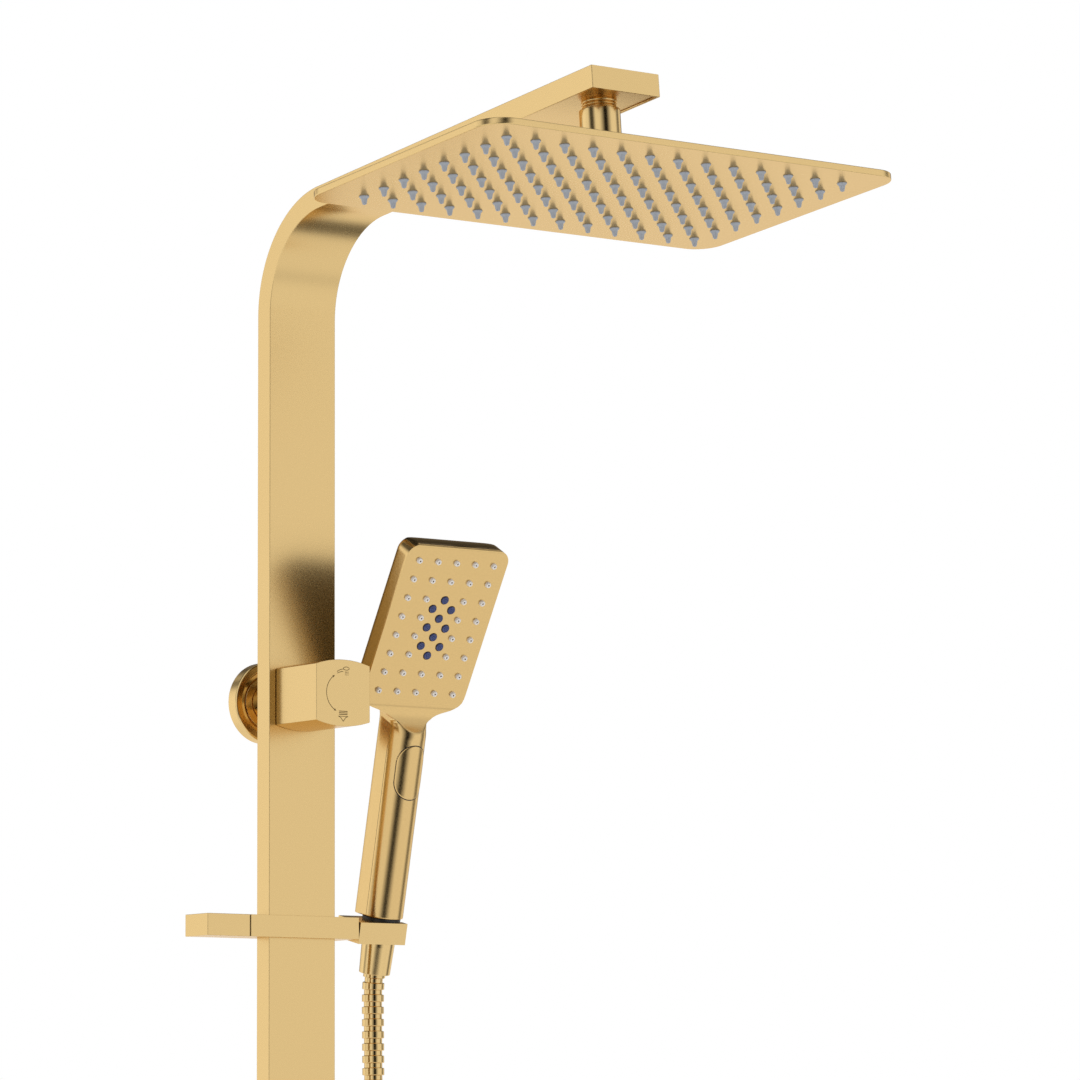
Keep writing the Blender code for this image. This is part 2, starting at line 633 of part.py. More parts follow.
def make_handset():
    frame = face_frame()
    pale, blue = hand_spots()
    back = shell("handset_back", False, "gold")
    front = shell("handset_front", True, "gold")
    outline = face_outline()
    cut(front, plate("cut_front_bay", face_outline(GAP), [(-1.65, 0), (9.0, 0)], frame, "gold", cutter=True))
    cut(front, plate("cut_front_room", face_outline(-1.2), [(-3.6, 0), (2.0, 0)], frame, "gold", cutter=True))
    for shell_ob in (back, front):
        cut(shell_ob, lathe("cut_" + shell_ob.name, disc_profile(9.5, 8, 13.9, 0.1), CONE_F, "gold", 24,
                            cutter=True))
    face = plate("handset_faceplate", outline, [(-1.35, 0), (-0.6, 0), (0, 0.6)], frame, "gold")
    cut(face, cones("cut_face_pale", pale, frame, -3, 2, 2.5, 2.5, "gold"))
    cut(face, cones("cut_face_blue", blue, frame, -3, 2, 2.9, 2.9, "gold"))
    inner = face_outline(-1.6)
    mat = plate("handset_nozzles", inner, [(-3.3, 0), (-1.65, 0)], frame, "pale")
    cut(mat, cones("add_pale", pale, frame, -2.2, 2.0, 2.2, 1.6, "pale"), "UNION")
    cut(mat, plate("cut_mat_window", rounded_rect(24, 48, 4, 3), [(-5, 0), (0, 0)], frame, "pale", cutter=True))
    jets = plate("handset_jets", rounded_rect(23.2, 47.2, 3.6, 3), [(-3.3, 0), (-1.65, 0)], frame, "blue")
    cut(jets, cones("add_blue", blue, frame, -2.2, 1.6, 2.6, 2.1, "blue"), "UNION")
    make_button(front)
    inlet = [(0, 13.6), (9.2, 13.6), (9.2, 10.8), (8.0, 9.9), (8.0, -4.0), (0, -4.0)]
    lathe("handset_inlet", inlet, CONE_F, "brass", 24)
    for name in ("handset_back", "handset_front", "handset_faceplate", "handset_nozzles", "handset_jets",
                 "handset_inlet"):
        put_origin(bpy.data.objects[name], CONE_C)


BUTTON_S = 104.5


def make_button(front):
    """Stadium push button wrapped on the handle's front, in a matching well with a spring."""
    centre = handle_point(BUTTON_S)
    out = Vector((0, -cos(LEAN), -sin(LEAN)))
    frame = Matrix((Vector((1, 0, 0)), LEAN_UP, out)).transposed().to_4x4()
    frame = Matrix.Translation(centre) @ frame
    shape = rounded_rect(20.0, 34.0, 9.5, 4)
    well = rounded_rect(20.8, 34.8, 9.9, 4)
    cut(front, plate("cut_button_well", well, [(4.5, 0), (20, 0)], frame, "gold", cutter=True))
    button = plate("mode_button", shape, [(7.6, 0), (16, 0)], frame, "gold")
    r = HANDLE_R + 0.5
    skin = []
    for s in (-30.0, 30.0):
        ring = []
        for k in range(17):
            a = pi * (k / 16.0)
            ring.append(frame @ Vector((r * cos(a), s, r * sin(a) * 0.985)))
        skin.append(ring)
    cut(button, loft("cut_button_skin", skin, "gold", cutter=True), "INTERSECT")
    put_origin(button, centre)
    coil = []
    turns, per = 3, 8
    for k in range(turns * per + 1):
        a = 2 * pi * k / per
        z = 4.9 + 2.3 * k / (turns * per)
        coil.append(frame @ Vector((3.0 * cos(a), 3.0 * sin(a), z)))
    rings = []
    for i, p in enumerate(coil):
        d = (coil[min(i + 1, len(coil) - 1)] - coil[max(i - 1, 0)]).normalized()
        side = d.cross(out).normalized()
        up = side.cross(d).normalized()
        rings.append([p + side * (0.22 * cos(t)) + up * (0.22 * sin(t)) for t in (pi * q / 2 for q in range(4))])
    spring = loft("button_spring", rings, "steel")
    put_origin(spring, centre)


# ---------------------------------------------------------------- hose

NUT_TOP = handle_point(-9.3)
NUT_END = handle_point(-27.5)


def hose_points():
    """Smooth route: out of the conical nut, straight down, round the loop and up to the outlet."""
    start = NUT_END + LEAN_UP * 2.0
    drop = Vector((HS_X, start.y + 2.2, start.z - 24.0))
    end = Vector((0, -COL_MID, OUTLET_Z - 22.0))
    pts = [start, start - LEAN_UP * 9.0, drop]
    half = HS_X / 2
    used = (start - pts[1]).length + (drop - pts[1]).length + pi * half
    z = (drop.z + end.z - (HOSE_LEN - used)) / 2
    n = 28
    for k in range(1, n):
        t = k / n
        pts.append(Vector((HS_X, drop.y + (end.y - drop.y) * t, drop.z + (z - drop.z) * t)))
    for k in range(13):
        a = pi * k / 12
        pts.append(Vector((half + half * cos(a), end.y, z - half * sin(a))))
    m = 10
    for k in range(1, m + 1):
        pts.append(Vector((0, end.y, z + (end.z - z) * k / m)))
    return pts


def make_hose():
    curve = bpy.data.curves.new("hose_route", "CURVE")
    curve.dimensions = "3D"
    curve.bevel_depth = HOSE_D / 2 * MM
    curve.bevel_resolution = 2
    curve.use_fill_caps = True
    pts = hose_points()
    spline = curve.splines.new("POLY")
    spline.points.add(len(pts) - 1)
    for p, q in zip(spline.points, pts):
        p.co = (*(q * MM), 1.0)
    temp = bpy.data.objects.new("hose_route", curve)
    CUTTERS.objects.link(temp)
    bpy.context.view_layer.update()
    graph = bpy.context.evaluated_depsgraph_get()
    mesh = bpy.data.meshes.new_from_object(temp.evaluated_get(graph))
    bpy.data.objects.remove(temp, do_unlink=True)
    bm = bmesh.new()
    bm.from_mesh(mesh)
    bmesh.ops.remove_doubles(bm, verts=bm.verts, dist=1e-6)
    bmesh.ops.recalc_face_normals(bm, faces=bm.faces)
    bm.to_mesh(mesh)
    bm.free()
    mesh.name = "hose"
    mesh.materials.clear()
    mesh.materials.append(material("hose_mat", "gold"))
    ob = bpy.data.objects.new("hose", mesh)
    PARTS.objects.link(ob)


def make_hose_ends():
    top = [(8.4, 9.4), (10.8, 9.4), (10.62, -6.9), (10.6, -9.4), (10.0, -27.2), (9.7, -27.5), (7.3, -27.5),
           (7.3, -16.0), (8.4, -15.0)]
    ob = lathe("hose_top_nut", top, CONE_F, "gold", 32, ring=True)
    put_origin(ob, CONE_C)
    out = axis_frame((0, -COL_MID, OUTLET_Z), (0, 0, -1))
    low = [(8.4, 0.0), (10.4, 0.0), (10.6, 1.0), (10.3, 16.0), (9.6, 27.5), (9.0, 28.0), (7.3, 28.0),
           (7.3, 17.0), (8.4, 16.0)]
    lathe("hose_bottom_nut", low, out, "gold", 32, ring=True)
    nip = [(3.6, -20.0), (12.0, -20.0), (12.0, -0.6), (8.0, -0.6), (8.0, 14.0), (3.6, 14.0)]
    lathe("outlet_nipple", nip, out, "gold", 24, ring=True)
    lathe("outlet_washer", [(4.0, 14.3), (7.9, 14.3), (7.9, 15.7), (4.0, 15.7)], out, "black", 20, ring=True)


def make_end_cap():
    w, t = COL_W - 2 * COL_WALL - 0.6, COL_T - 2 * COL_WALL - 0.6
    sec = rounded_rect(w, t, 0.8, 2)
    rings = [[Vector((a, -COL_MID + b, z)) for a, b in sec] for z in (COL_BOTTOM + 13.0, COL_BOTTOM + 0.3)]
    plug = loft("column_end_cap", rings, "black")
    down = axis_frame((0, -COL_MID, COL_BOTTOM), (0, 0, 1))
    cut(plug, lathe("cut_plug_bore", disc_profile(3.6, -2, 16, 0.1), down, "black", 16, cutter=True))


make_column()
make_pipes()
make_inlet()
make_diverter()
make_low_bracket()
make_head()
make_slider()
make_handset()
make_hose()
make_hose_ends()
make_end_cap()
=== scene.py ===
import json
from math import radians, sin, cos, pi

import bpy
import bmesh
import numpy as np
from mathutils import Matrix, Vector


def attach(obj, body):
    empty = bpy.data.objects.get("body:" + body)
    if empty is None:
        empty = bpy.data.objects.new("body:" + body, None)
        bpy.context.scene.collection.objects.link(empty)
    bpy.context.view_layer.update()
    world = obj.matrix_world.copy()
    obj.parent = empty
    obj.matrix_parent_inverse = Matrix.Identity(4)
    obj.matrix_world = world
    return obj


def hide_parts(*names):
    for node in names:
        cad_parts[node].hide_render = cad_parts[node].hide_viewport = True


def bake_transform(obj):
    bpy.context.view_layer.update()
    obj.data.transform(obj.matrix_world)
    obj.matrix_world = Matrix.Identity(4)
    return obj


with open("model.json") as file:
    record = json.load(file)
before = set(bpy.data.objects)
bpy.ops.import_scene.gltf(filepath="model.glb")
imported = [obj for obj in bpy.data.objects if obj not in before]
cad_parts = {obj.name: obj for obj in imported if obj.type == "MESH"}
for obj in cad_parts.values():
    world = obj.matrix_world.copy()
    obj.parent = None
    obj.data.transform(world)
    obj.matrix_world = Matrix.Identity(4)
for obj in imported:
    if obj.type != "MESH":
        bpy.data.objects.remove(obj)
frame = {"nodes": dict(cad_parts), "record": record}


def note_size():
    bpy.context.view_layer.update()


note_size()

# ---------------------------------------------------------------- sizes, in millimetres

COL_W, COL_T, COL_FRONT, COL_EDGE = 50.0, 14.0, 46.2, 0.7
COL_BOTTOM, BEND_OUT, ARM_END, ARM_TOP = -900.0, 75.0, 389.0, 346.9
SLOPE = radians(5.5)
COL_BACK, COL_MID = COL_FRONT - COL_T, COL_FRONT - COL_T / 2
BEND_Y = -(COL_BACK + BEND_OUT)
BEND_RUN = (ARM_END + BEND_Y + sin(SLOPE) * BEND_OUT) / cos(SLOPE)
BEND_Z = ARM_TOP - BEND_RUN * sin(SLOPE) - cos(SLOPE) * BEND_OUT

HEAD_W, HEAD_D, HEAD_T, HEAD_R = 301.6, 191.0, 4.0, 16.5
HEAD_PITCH, HEAD_COLS, HEAD_ROWS = 20.55, 13, 8
TILT = radians(4.9)

HS_X, LEAN, FACE = 66.5, radians(12.85), radians(30.3)
PIVOT = np.array([0.0, -37.0, -145.5])
OUTLET_Z = -922.0

EX = np.array([1.0, 0.0, 0.0])
HEAD_FWD = np.array([0.0, -cos(TILT), sin(TILT)])
HEAD_UP = np.array([0.0, sin(TILT), cos(TILT)])
HEAD_C = np.array([0.4, -367.2, 278.1])
LEAN_UP = np.array([0.0, -sin(LEAN), cos(LEAN)])
LEAN_BACK = np.array([0.0, cos(LEAN), sin(LEAN)])
FACE_UP = np.array([0.0, -sin(FACE), cos(FACE)])
FACE_N = np.array([0.0, -cos(FACE), -sin(FACE)])
FACE_C = np.array([HS_X, -100.0, 45.7])
CONE_C = PIVOT + EX * HS_X
NUT_C = CONE_C + LEAN_BACK * 1.1
BALL_C = HEAD_C + HEAD_UP * (27.7 / cos(TILT))


# ---------------------------------------------------------------- surfaces

def surface(name, points, faces, smooth=True, ride=None):
    """Makes a mesh object from an (n, 3) array in millimetres and an (m, 4) array of corners."""
    mesh = bpy.data.meshes.new(name)
    p = np.asarray(points, float).reshape(-1, 3) / 1000.0
    f = np.asarray(faces, int).reshape(-1, 4)
    mesh.vertices.add(len(p))
    mesh.vertices.foreach_set("co", p.ravel())
    tri = f[:, 2] == f[:, 3]
    count = np.where(tri, 3, 4)
    start = np.concatenate([[0], np.cumsum(count)[:-1]])
    keep = np.ones(f.shape, bool)
    keep[tri, 3] = False
    mesh.loops.add(int(count.sum()))
    mesh.loops.foreach_set("vertex_index", f[keep])
    mesh.polygons.add(len(f))
    mesh.polygons.foreach_set("loop_start", start)
    mesh.polygons.foreach_set("loop_total", count)
    mesh.polygons.foreach_set("use_smooth", np.full(len(f), smooth))
    mesh.update(calc_edges=True)
    mesh.validate()
    ob = bpy.data.objects.new(name, mesh)
    bpy.context.scene.collection.objects.link(ob)
    if ride:
        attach(ob, ride)
    return ob


def grid_faces(rows, cols, wrap=False, base=0):
    """Quads between neighbouring rows and columns of a (rows, cols) grid; wrap joins the last column to
    the first."""
    i = np.arange(rows - 1)[:, None]
    j = np.arange(cols if wrap else cols - 1)[None, :]
    k = (j + 1) % cols
    a, b = base + i * cols + j, base + i * cols + k
    c, d = base + (i + 1) * cols + k, base + (i + 1) * cols + j
    return np.stack([a, b, c, d], -1).reshape(-1, 4)


def fan_faces(ring, centre):
    """Triangles from a ring of corner numbers to a centre corner."""
    nxt = np.roll(ring, -1)
    return np.stack([ring, nxt, np.full(len(ring), centre), np.full(len(ring), centre)], -1)


class Shape:
    """Collects several grids and caps into one mesh."""

    def __init__(self):
        self.points, self.faces, self.count = [], [], 0

    def add(self, points, faces):
        p = np.asarray(points, float).reshape(-1, 3)
        self.points.append(p)
        self.faces.append(np.asarray(faces) + self.count)
        self.count += len(p)
        return self

    def grid(self, points, wrap=True):
        r, c = points.shape[:2]
        return self.add(points, grid_faces(r, c, wrap))

    def cap(self, ring, flip=False):
        """Closes a ring with a fan from its mean point."""
        n = len(ring)
        f = fan_faces(np.arange(n), n)
        if flip:
            f = f[:, [1, 0, 2, 3]]
        return self.add(np.vstack([ring, np.mean(ring, 0)]), f)

    def make(self, name, smooth=True, ride=None):
        return surface(name, np.vstack(self.points), np.vstack(self.faces), smooth, ride)


def rounded(w, h, r, steps=5):
    """Rounded rectangle, anticlockwise from +x: quarter circles of radius r at the corners, and two more
    points on each straight side, near its ends, that keep the flats flat."""
    t = np.radians(np.linspace(0, 90, steps + 1))
    out = []
    for sx, sy, a0 in ((1, 1, 0), (-1, 1, 90), (-1, -1, 180), (1, -1, 270)):
        a = t + radians(a0)
        out.append(np.stack([sx * (w / 2 - r) + r * np.cos(a), sy * (h / 2 - r) + r * np.sin(a)], -1))
    ring = []
    for k, q in enumerate(out):
        ring.append(q)
        nxt = out[(k + 1) % 4][0]
        near = min(0.3, 0.3 * r) / max(np.linalg.norm(nxt - q[-1]), 0.1)
        ring.append(q[-1] + (nxt - q[-1]) * np.array([[min(near, 0.3)], [1 - min(near, 0.3)]]))
    return np.vstack(ring)


def place(local, origin, x, y, z):
    """Local coordinates to the row frame: origin + a x + b y + c z."""
    return origin + local[..., :1] * x + local[..., 1:2] * y + local[..., 2:] * z


def turned(profile, origin, axis, steps=64):
    """A profile of (radius, height) points carried round an axis: angle is one parameter, the profile the
    other."""
    axis = np.asarray(axis, float) / np.linalg.norm(axis)
    x = EX - axis * np.dot(EX, axis)
    x /= np.linalg.norm(x)
    y = np.cross(axis, x)
    prof = np.asarray(profile, float)
    t = np.linspace(0, 2 * pi, steps, endpoint=False)
    r, h = prof[:, 0][:, None], prof[:, 1][:, None]
    local = np.stack([r * np.cos(t), r * np.sin(t), h + 0 * t], -1)
    return place(local, np.asarray(origin, float), x, y, axis)


def soften(profile, r=0.3, steps=4):
    """Rounds every inner corner of a profile with a quadratic curve from r before to r after, with a
    point a little further out on each side that keeps the straights straight."""
    p = np.asarray(profile, float)
    out = [p[0]]
    for a, b, c in zip(p[:-2], p[1:-1], p[2:]):
        la, lc = np.linalg.norm(a - b), np.linalg.norm(c - b)
        q = min(r, la * 0.45, lc * 0.45)
        s, e = b + (a - b) / la * q, b + (c - b) / lc * q
        t = np.linspace(0, 1, steps + 1)[:, None]
        out.append(b + (a - b) / la * q * 1.08)
        out.extend((1 - t) ** 2 * s + 2 * t * (1 - t) * b + t * t * e)
        out.append(b + (c - b) / lc * q * 1.08)
    out.append(p[-1])
    return np.array(out)


def lathe(name, profile, origin, axis, ride, steps, r):
    """A turned piece: softened profile carried round the axis."""
    return Shape().grid(turned(soften(profile, r), origin, axis, steps)).make(name, True, ride)


# ---------------------------------------------------------------- finishes

class Value:
    """One socket of a node tree; sums and products of values add the Math nodes they need."""

    def __init__(self, tree, socket):
        self.tree, self.socket = tree, socket

    def math(self, kind, *others):
        return self.tree.node("ShaderNodeMath", {"operation": kind}, self, *others)

    def __add__(self, o):
        return self.math("ADD", o)

    def __sub__(self, o):
        return self.math("SUBTRACT", o)

    def __rsub__(self, o):
        return self.tree.node("ShaderNodeMath", {"operation": "SUBTRACT"}, o, self)

    def __mul__(self, o):
        return self.math("MULTIPLY", o)

    def __truediv__(self, o):
        return self.math("DIVIDE", o)

    __radd__, __rmul__ = __add__, __mul__

    def clip(self, lo=0.0, hi=1.0):
        return self.math("MAXIMUM", lo).math("MINIMUM", hi)


class Tree:
    """A material's or the world's nodes."""

    def __init__(self, owner):
        owner.use_nodes = True
        self.nodes, self.links = owner.node_tree.nodes, owner.node_tree.links
        self.nodes.clear()

    def node(self, kind, settings=None, *inputs, out=0, **named):
        n = self.nodes.new(kind)
        for k, v in (settings or {}).items():
            setattr(n, k, v)
        for i, v in list(enumerate(inputs)) + [(k.replace("_", " "), v) for k, v in named.items()]:
            if isinstance(v, Value):
                self.links.new(v.socket, n.inputs[i])
            else:
                n.inputs[i].default_value = v
        return Value(self, n.outputs[out])

    def blend(self, factor, a, b):
        """Colour a where factor is 0 and b where it is 1."""
        n = self.nodes.new("ShaderNodeMix")
        n.data_type = "RGBA"
        for i, v in ((0, factor), (6, a), (7, b)):
            if isinstance(v, Value):
                self.links.new(v.socket, n.inputs[i])
            else:
                n.inputs[i].default_value = v
        return Value(self, n.outputs[2])


def rgb(r, g, b):
    return (r, g, b, 1.0)


def finish_material(name, make):
    """A material whose Principled shader gets its sockets from make(tree)."""
    mat = bpy.data.materials.new(name)
    tree = Tree(mat)
    out = tree.nodes.new("ShaderNodeOutputMaterial")
    sockets = make(tree)
    shader = tree.node("ShaderNodeBsdfPrincipled", None, **sockets)
    tree.links.new(shader.socket, out.inputs["Surface"])
    return mat


def noise(tree, scale, detail=2.0, rough=0.5):
    """Noise on Object coordinates, scale given in cycles per metre."""
    co = tree.node("ShaderNodeTexCoord", None, out=3)
    return tree.node("ShaderNodeTexNoise", None, Vector=co, Scale=scale, Detail=detail, Roughness=rough)


GOLD = (0.735, 0.525, 0.235)
GRAIN_SCALE, DRIFT_SCALE = 1150.0, 9.0


def metal(name, colour, rough, grain, speckle, bump=0.00002):
    """Plated metal: a cloudy drift and a fine speckle in colour, the same speckle in roughness, and fine
    bead-blasted relief."""
    def make(t):
        drift = noise(t, DRIFT_SCALE)
        fine = noise(t, GRAIN_SCALE, 3.0, 0.6)
        tone = (fine - 0.5) * speckle + (drift - 0.5) * grain
        dark = rgb(*[c * 0.8 for c in colour])
        light = rgb(*[min(1.0, c * 1.2) for c in colour])
        base = t.blend((tone + 0.5).clip(), dark, light)
        relief = t.node("ShaderNodeBump", None, Strength=1.0, Distance=bump, Height=fine)
        edge = rgb(*[0.58 + 0.54 * c for c in colour])
        return {"Base_Color": base, "Metallic": 1.0, "Specular_Tint": edge,
                "Roughness": (fine - 0.5) * 0.12 + (drift - 0.5) * 0.04 + rough, "Normal": relief}
    return finish_material(name, make)


def soft(name, colour, rough, spread=0.12, scale=500.0):
    """Moulded rubber or plastic: a slight mottle in colour and roughness, and a fine moulded relief."""
    def make(t):
        fine = noise(t, scale, 2.0)
        dark = rgb(*[c * (1 - spread) for c in colour])
        light = rgb(*[min(1.0, c * (1 + spread)) for c in colour])
        return {"Base_Color": t.blend(fine, dark, light), "Roughness": (fine - 0.5) * 0.15 + rough,
                "Normal": t.node("ShaderNodeBump", None, Strength=1.0, Distance=0.00001, Height=fine)}
    return finish_material(name, make)


SATIN = metal("satin_gold", GOLD, 0.26, 0.07, 0.42, 0.0000092)
TURNED = metal("turned_gold", GOLD, 0.16, 0.05, 0.2, 0.000003)
PLATED = metal("plated_gold", (0.70, 0.485, 0.207), 0.2, 0.07, 0.6, 0.000008)
HOSE_GOLD = metal("hose_gold", GOLD, 0.15, 0.05, 0.2, 0.000002)
BRASS = metal("raw_brass", (0.62, 0.44, 0.18), 0.33, 0.1, 0.3, 0.00002)
STEEL = metal("plain_steel", (0.55, 0.55, 0.56), 0.3, 0.1, 0.3, 0.00002)
# Dark brown: the real engraved marks on the knob, and also painted reflection in the rings round the rain
# head nozzles and painted shade in the rings round the blue jets.
ENGRAVED_AND_SEAT_SHADE = metal("engraved_marks_and_seat_shade", (0.16, 0.105, 0.045), 0.5, 0.05, 0.3)
GREY = soft("grey_silicone", (0.47, 0.52, 0.60), 0.42)
PALE = soft("pale_silicone", (0.98, 0.93, 0.87), 0.3, 0.02)
BLUE = soft("blue_silicone", (0.06, 0.085, 0.25), 0.3)
# Dark brown: painted shade in the holes of the pale nozzles.
NOZZLE_HOLE_SHADE = soft("painted_hole_shade", (0.10, 0.06, 0.035), 0.7)
# Black: the real black liner in the holder, and also painted shade in the thin fillers set in the gaps at the
# diverter, the clamp and the mode button.
BLACK_AND_GAP_SHADE = soft("black_plastic", (0.012, 0.012, 0.012), 0.45)

FINISH = {"satin_gold": SATIN, "plated_plastic": PLATED, "raw_brass": BRASS, "grey_silicone": GREY,
          "pale_silicone": PALE, "blue_silicone": BLUE, "black_plastic": BLACK_AND_GAP_SHADE, "steel": STEEL}


def dress(ob, mat, slot, *nodes):
    """Puts a finish on a piece and hides the plain nodes it stands for; slot is not used."""
    ob.data.materials.clear()
    ob.data.materials.append(mat)
    if nodes:
        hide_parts(*nodes)
    return ob


# ---------------------------------------------------------------- riser column and arm

POCKET_DEPTH, POCKET_LONG = 0.8, 97.2


def column_line():
    """Stations of the centre line: straight up, an arc about the bend's centre, then the arm: points and
    outward normals."""
    mid = BEND_OUT - COL_T / 2
    a = np.linspace(0, pi / 2 - SLOPE, 60)
    n = np.stack([0 * a, np.cos(a), np.sin(a)], -1)
    p = np.array([0, BEND_Y, BEND_Z]) + n * mid
    tip = p[-1] + np.array([0, -cos(SLOPE), sin(SLOPE)]) * BEND_RUN
    low = np.array([[0, BEND_Y + mid, COL_BOTTOM], [0, BEND_Y + mid, BEND_Z - 3]])
    return np.vstack([low, p, tip]), np.vstack([n[:1], n[:1], n, n[-1:]])


def make_riser():
    """Flat tube: a rectangle carried along the centre line, with a long shallow pocket cut into the arm's
    underside near its end; the edges are bevelled."""
    p, n = column_line()
    sx = np.array([1, -1, -1, 1]) * COL_W / 2
    sn = np.array([1, 1, -1, -1]) * COL_T / 2
    rings = p[:, None] + sx[None, :, None] * EX + sn[None, :, None] * n[:, None]
    s = Shape().grid(rings).cap(rings[0], True).cap(rings[-1])
    ob = s.make("riser_column_tube", False)
    turn_out(ob)
    fwd = np.array([0, -cos(SLOPE), sin(SLOPE)])
    base = p[-1] - n[-1] * (COL_T / 2) - fwd * 1.8
    x, h = COL_W / 2 - 1.8, POCKET_DEPTH
    q = np.array([[-x, -5.0], [x, -5.0], [x, h], [-x, h]])
    pocket = np.stack([base - fwd * d + q[:, :1] * EX + q[:, 1:] * n[-1] for d in (0.0, POCKET_LONG)])
    cutter = Shape().grid(pocket).cap(pocket[0], True).cap(pocket[1]).make("arm_pocket_cutter", False)
    turn_out(cutter)
    cut(ob, cutter)
    bevel(ob, COL_EDGE)
    dress(ob, SATIN, "satin_gold", "riser_column", "upper_water_pipe")
    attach(ob, "column")


def turn_out(ob):
    """Merges doubled corners and turns the faces of a closed piece outwards."""
    bm = bmesh.new()
    bm.from_mesh(ob.data)
    bmesh.ops.remove_doubles(bm, verts=bm.verts, dist=1e-7)
    bmesh.ops.recalc_face_normals(bm, faces=bm.faces)
    bm.to_mesh(ob.data)
    bm.free()


def cut(ob, cutter):
    """Cuts one closed mesh out of another and removes the cutter."""
    mod = ob.modifiers.new("cut", "BOOLEAN")
    mod.operation, mod.solver, mod.object = "DIFFERENCE", "EXACT", cutter
    graph = bpy.context.evaluated_depsgraph_get()
    mesh = bpy.data.meshes.new_from_object(ob.evaluated_get(graph))
    ob.modifiers.clear()
    ob.data = mesh
    bpy.data.objects.remove(cutter, do_unlink=True)


def bevel(ob, width):
    """Rounds the hard edges of a piece and keeps its flats flat."""
    ob.data.polygons.foreach_set("use_smooth", [True] * len(ob.data.polygons))
    mod = ob.modifiers.new("edges", "BEVEL")
    mod.width, mod.segments = width / 1000, 3
    mod.limit_method, mod.angle_limit = "ANGLE", radians(30)
    mod.harden_normals = True


def hard_block(name, rings, width=None):
    """Closed block through two rings of corners, with bevelled edges where a width is given."""
    rings = np.asarray(rings, float)
    ob = Shape().grid(rings).cap(rings[0], True).cap(rings[-1]).make(name, False)
    turn_out(ob)
    if width:
        bevel(ob, width)
    return ob


# ---------------------------------------------------------------- rain head

NUT_R, RING_R, THROAT_R, NUT_TOP = 12.35, 12.25, 10.7, 20.7


def make_head():
    """Thin plate with rounded corners, 13 by 8 cone nozzles in rows, a domed hub on top."""
    e = 0.55
    t = np.radians([0, 22.5, 45, 67.5, 90])
    steps = [(e + 6, 0.0), (e + 0.4, 0.0)] + [(e - e * sin(a), e - e * cos(a)) for a in t]
    steps += [(0.0, 1.0), (0.0, 3.0)] + [(e - e * cos(a), HEAD_T - e + e * sin(a)) for a in t]
    steps += [(e + 0.4, HEAD_T), (e + 6, HEAD_T)]
    rings = []
    for inset, h in steps:
        q = rounded(HEAD_W - 2 * inset, HEAD_D - 2 * inset, HEAD_R - inset, 12)
        rings.append(place(np.column_stack([q, np.full(len(q), h)]), HEAD_C, EX, -HEAD_FWD, HEAD_UP))
    rings = np.array(rings)
    ob = Shape().grid(rings).cap(rings[0], True).cap(rings[-1]).make("rain_head_plate", True, "rain_head")
    turn_out(ob)
    dress(ob, SATIN, "satin_gold", "head_faceplate", "head_cover")
    i, j = np.meshgrid(np.arange(HEAD_COLS), np.arange(HEAD_ROWS), indexing="ij")
    x = (i.ravel() - (HEAD_COLS - 1) / 2) * HEAD_PITCH
    y = (j.ravel() - (HEAD_ROWS - 1) / 2) * HEAD_PITCH
    spots = HEAD_C + x[:, None] * EX - y[:, None] * HEAD_FWD
    prof = [(3.0, 0.3), (2.95, -0.55), (2.7, -0.85), (1.95, -1.6), (1.3, -4.6), (1.1, -4.95), (0.62, -5.0),
            (0.6, -4.3)]
    ob = many("rain_head_nozzles", spots, prof, HEAD_UP, 12, "rain_head")
    dress(ob, GREY, "grey_silicone", "head_nozzle_mat")
    # A thin dark brown ring at the foot of each nozzle: painted reflection where the nozzle meets the plate.
    prof = [(3.0, 0.3), (3.15, -0.01), (3.0, -0.05), (2.9, 0.2)]
    reflection_ring = many("rain_head_nozzle_reflection_rings", spots, prof, HEAD_UP, 12, "rain_head")
    dress(reflection_ring, ENGRAVED_AND_SEAT_SHADE, "satin_gold")
    hub = lathe("rain_head_hub", [(6.3, 4.1), (23.5, 4.1), (23.5, 4.6), (20.0, 5.5), (15.5, 6.0), (6.3, 6.0)],
                HEAD_C, HEAD_UP, "rain_head", 96, 0.5)
    dress(hub, TURNED, "satin_gold", "head_hub_ring")


def many(name, spots, profile, axis, sides, body):
    """The same small turned shape at every spot: one profile round the axis, closed at its end, copied by
    adding spots."""
    one = turned(profile, (0, 0, 0), axis, sides)
    r, c = one.shape[:2]
    flat = np.vstack([one.reshape(-1, 3), one[-1].mean(0)])
    faces = np.vstack([grid_faces(r, c, True), fan_faces((r - 1) * c + np.arange(c), r * c)])
    n = len(flat)
    pts = (spots[:, None] + flat[None]).reshape(-1, 3)
    f = (np.arange(len(spots))[:, None, None] * n + faces[None]).reshape(-1, 4)
    ob = surface(name, pts, f, True, body)
    ob.data.set_sharp_from_angle(angle=radians(50))
    return ob


def make_neck():
    """Collar, grooved throat and ball nut, turned about the head's axis through the ball."""
    nut = [(8.0, NUT_TOP), (NUT_R, NUT_TOP), (NUT_R, -6.6), (NUT_R - 1.2, -8.0), (7.9, -8.0)]
    dress(lathe("neck_nut", nut, BALL_C, HEAD_UP, "column", 96, 0.45), TURNED, "satin_gold", "ball_nut")
    t, b = THROAT_R, NUT_TOP + 0.3
    stem = [(6.0, b), (t, b), (t, b + 1.1), (t - 0.9, b + 1.5), (t, b + 1.9), (t, b + 2.9),
            (t - 0.9, b + 3.3), (t, b + 3.7), (t + 0.1, b + 4.5), (RING_R, b + 5.9), (RING_R, 34.5),
            (6.0, 34.5)]
    dress(lathe("neck_throat", stem, BALL_C, HEAD_UP, "column", 96, 0.3), TURNED, "satin_gold", "neck_stem")


# ---------------------------------------------------------------- wall fittings and diverter

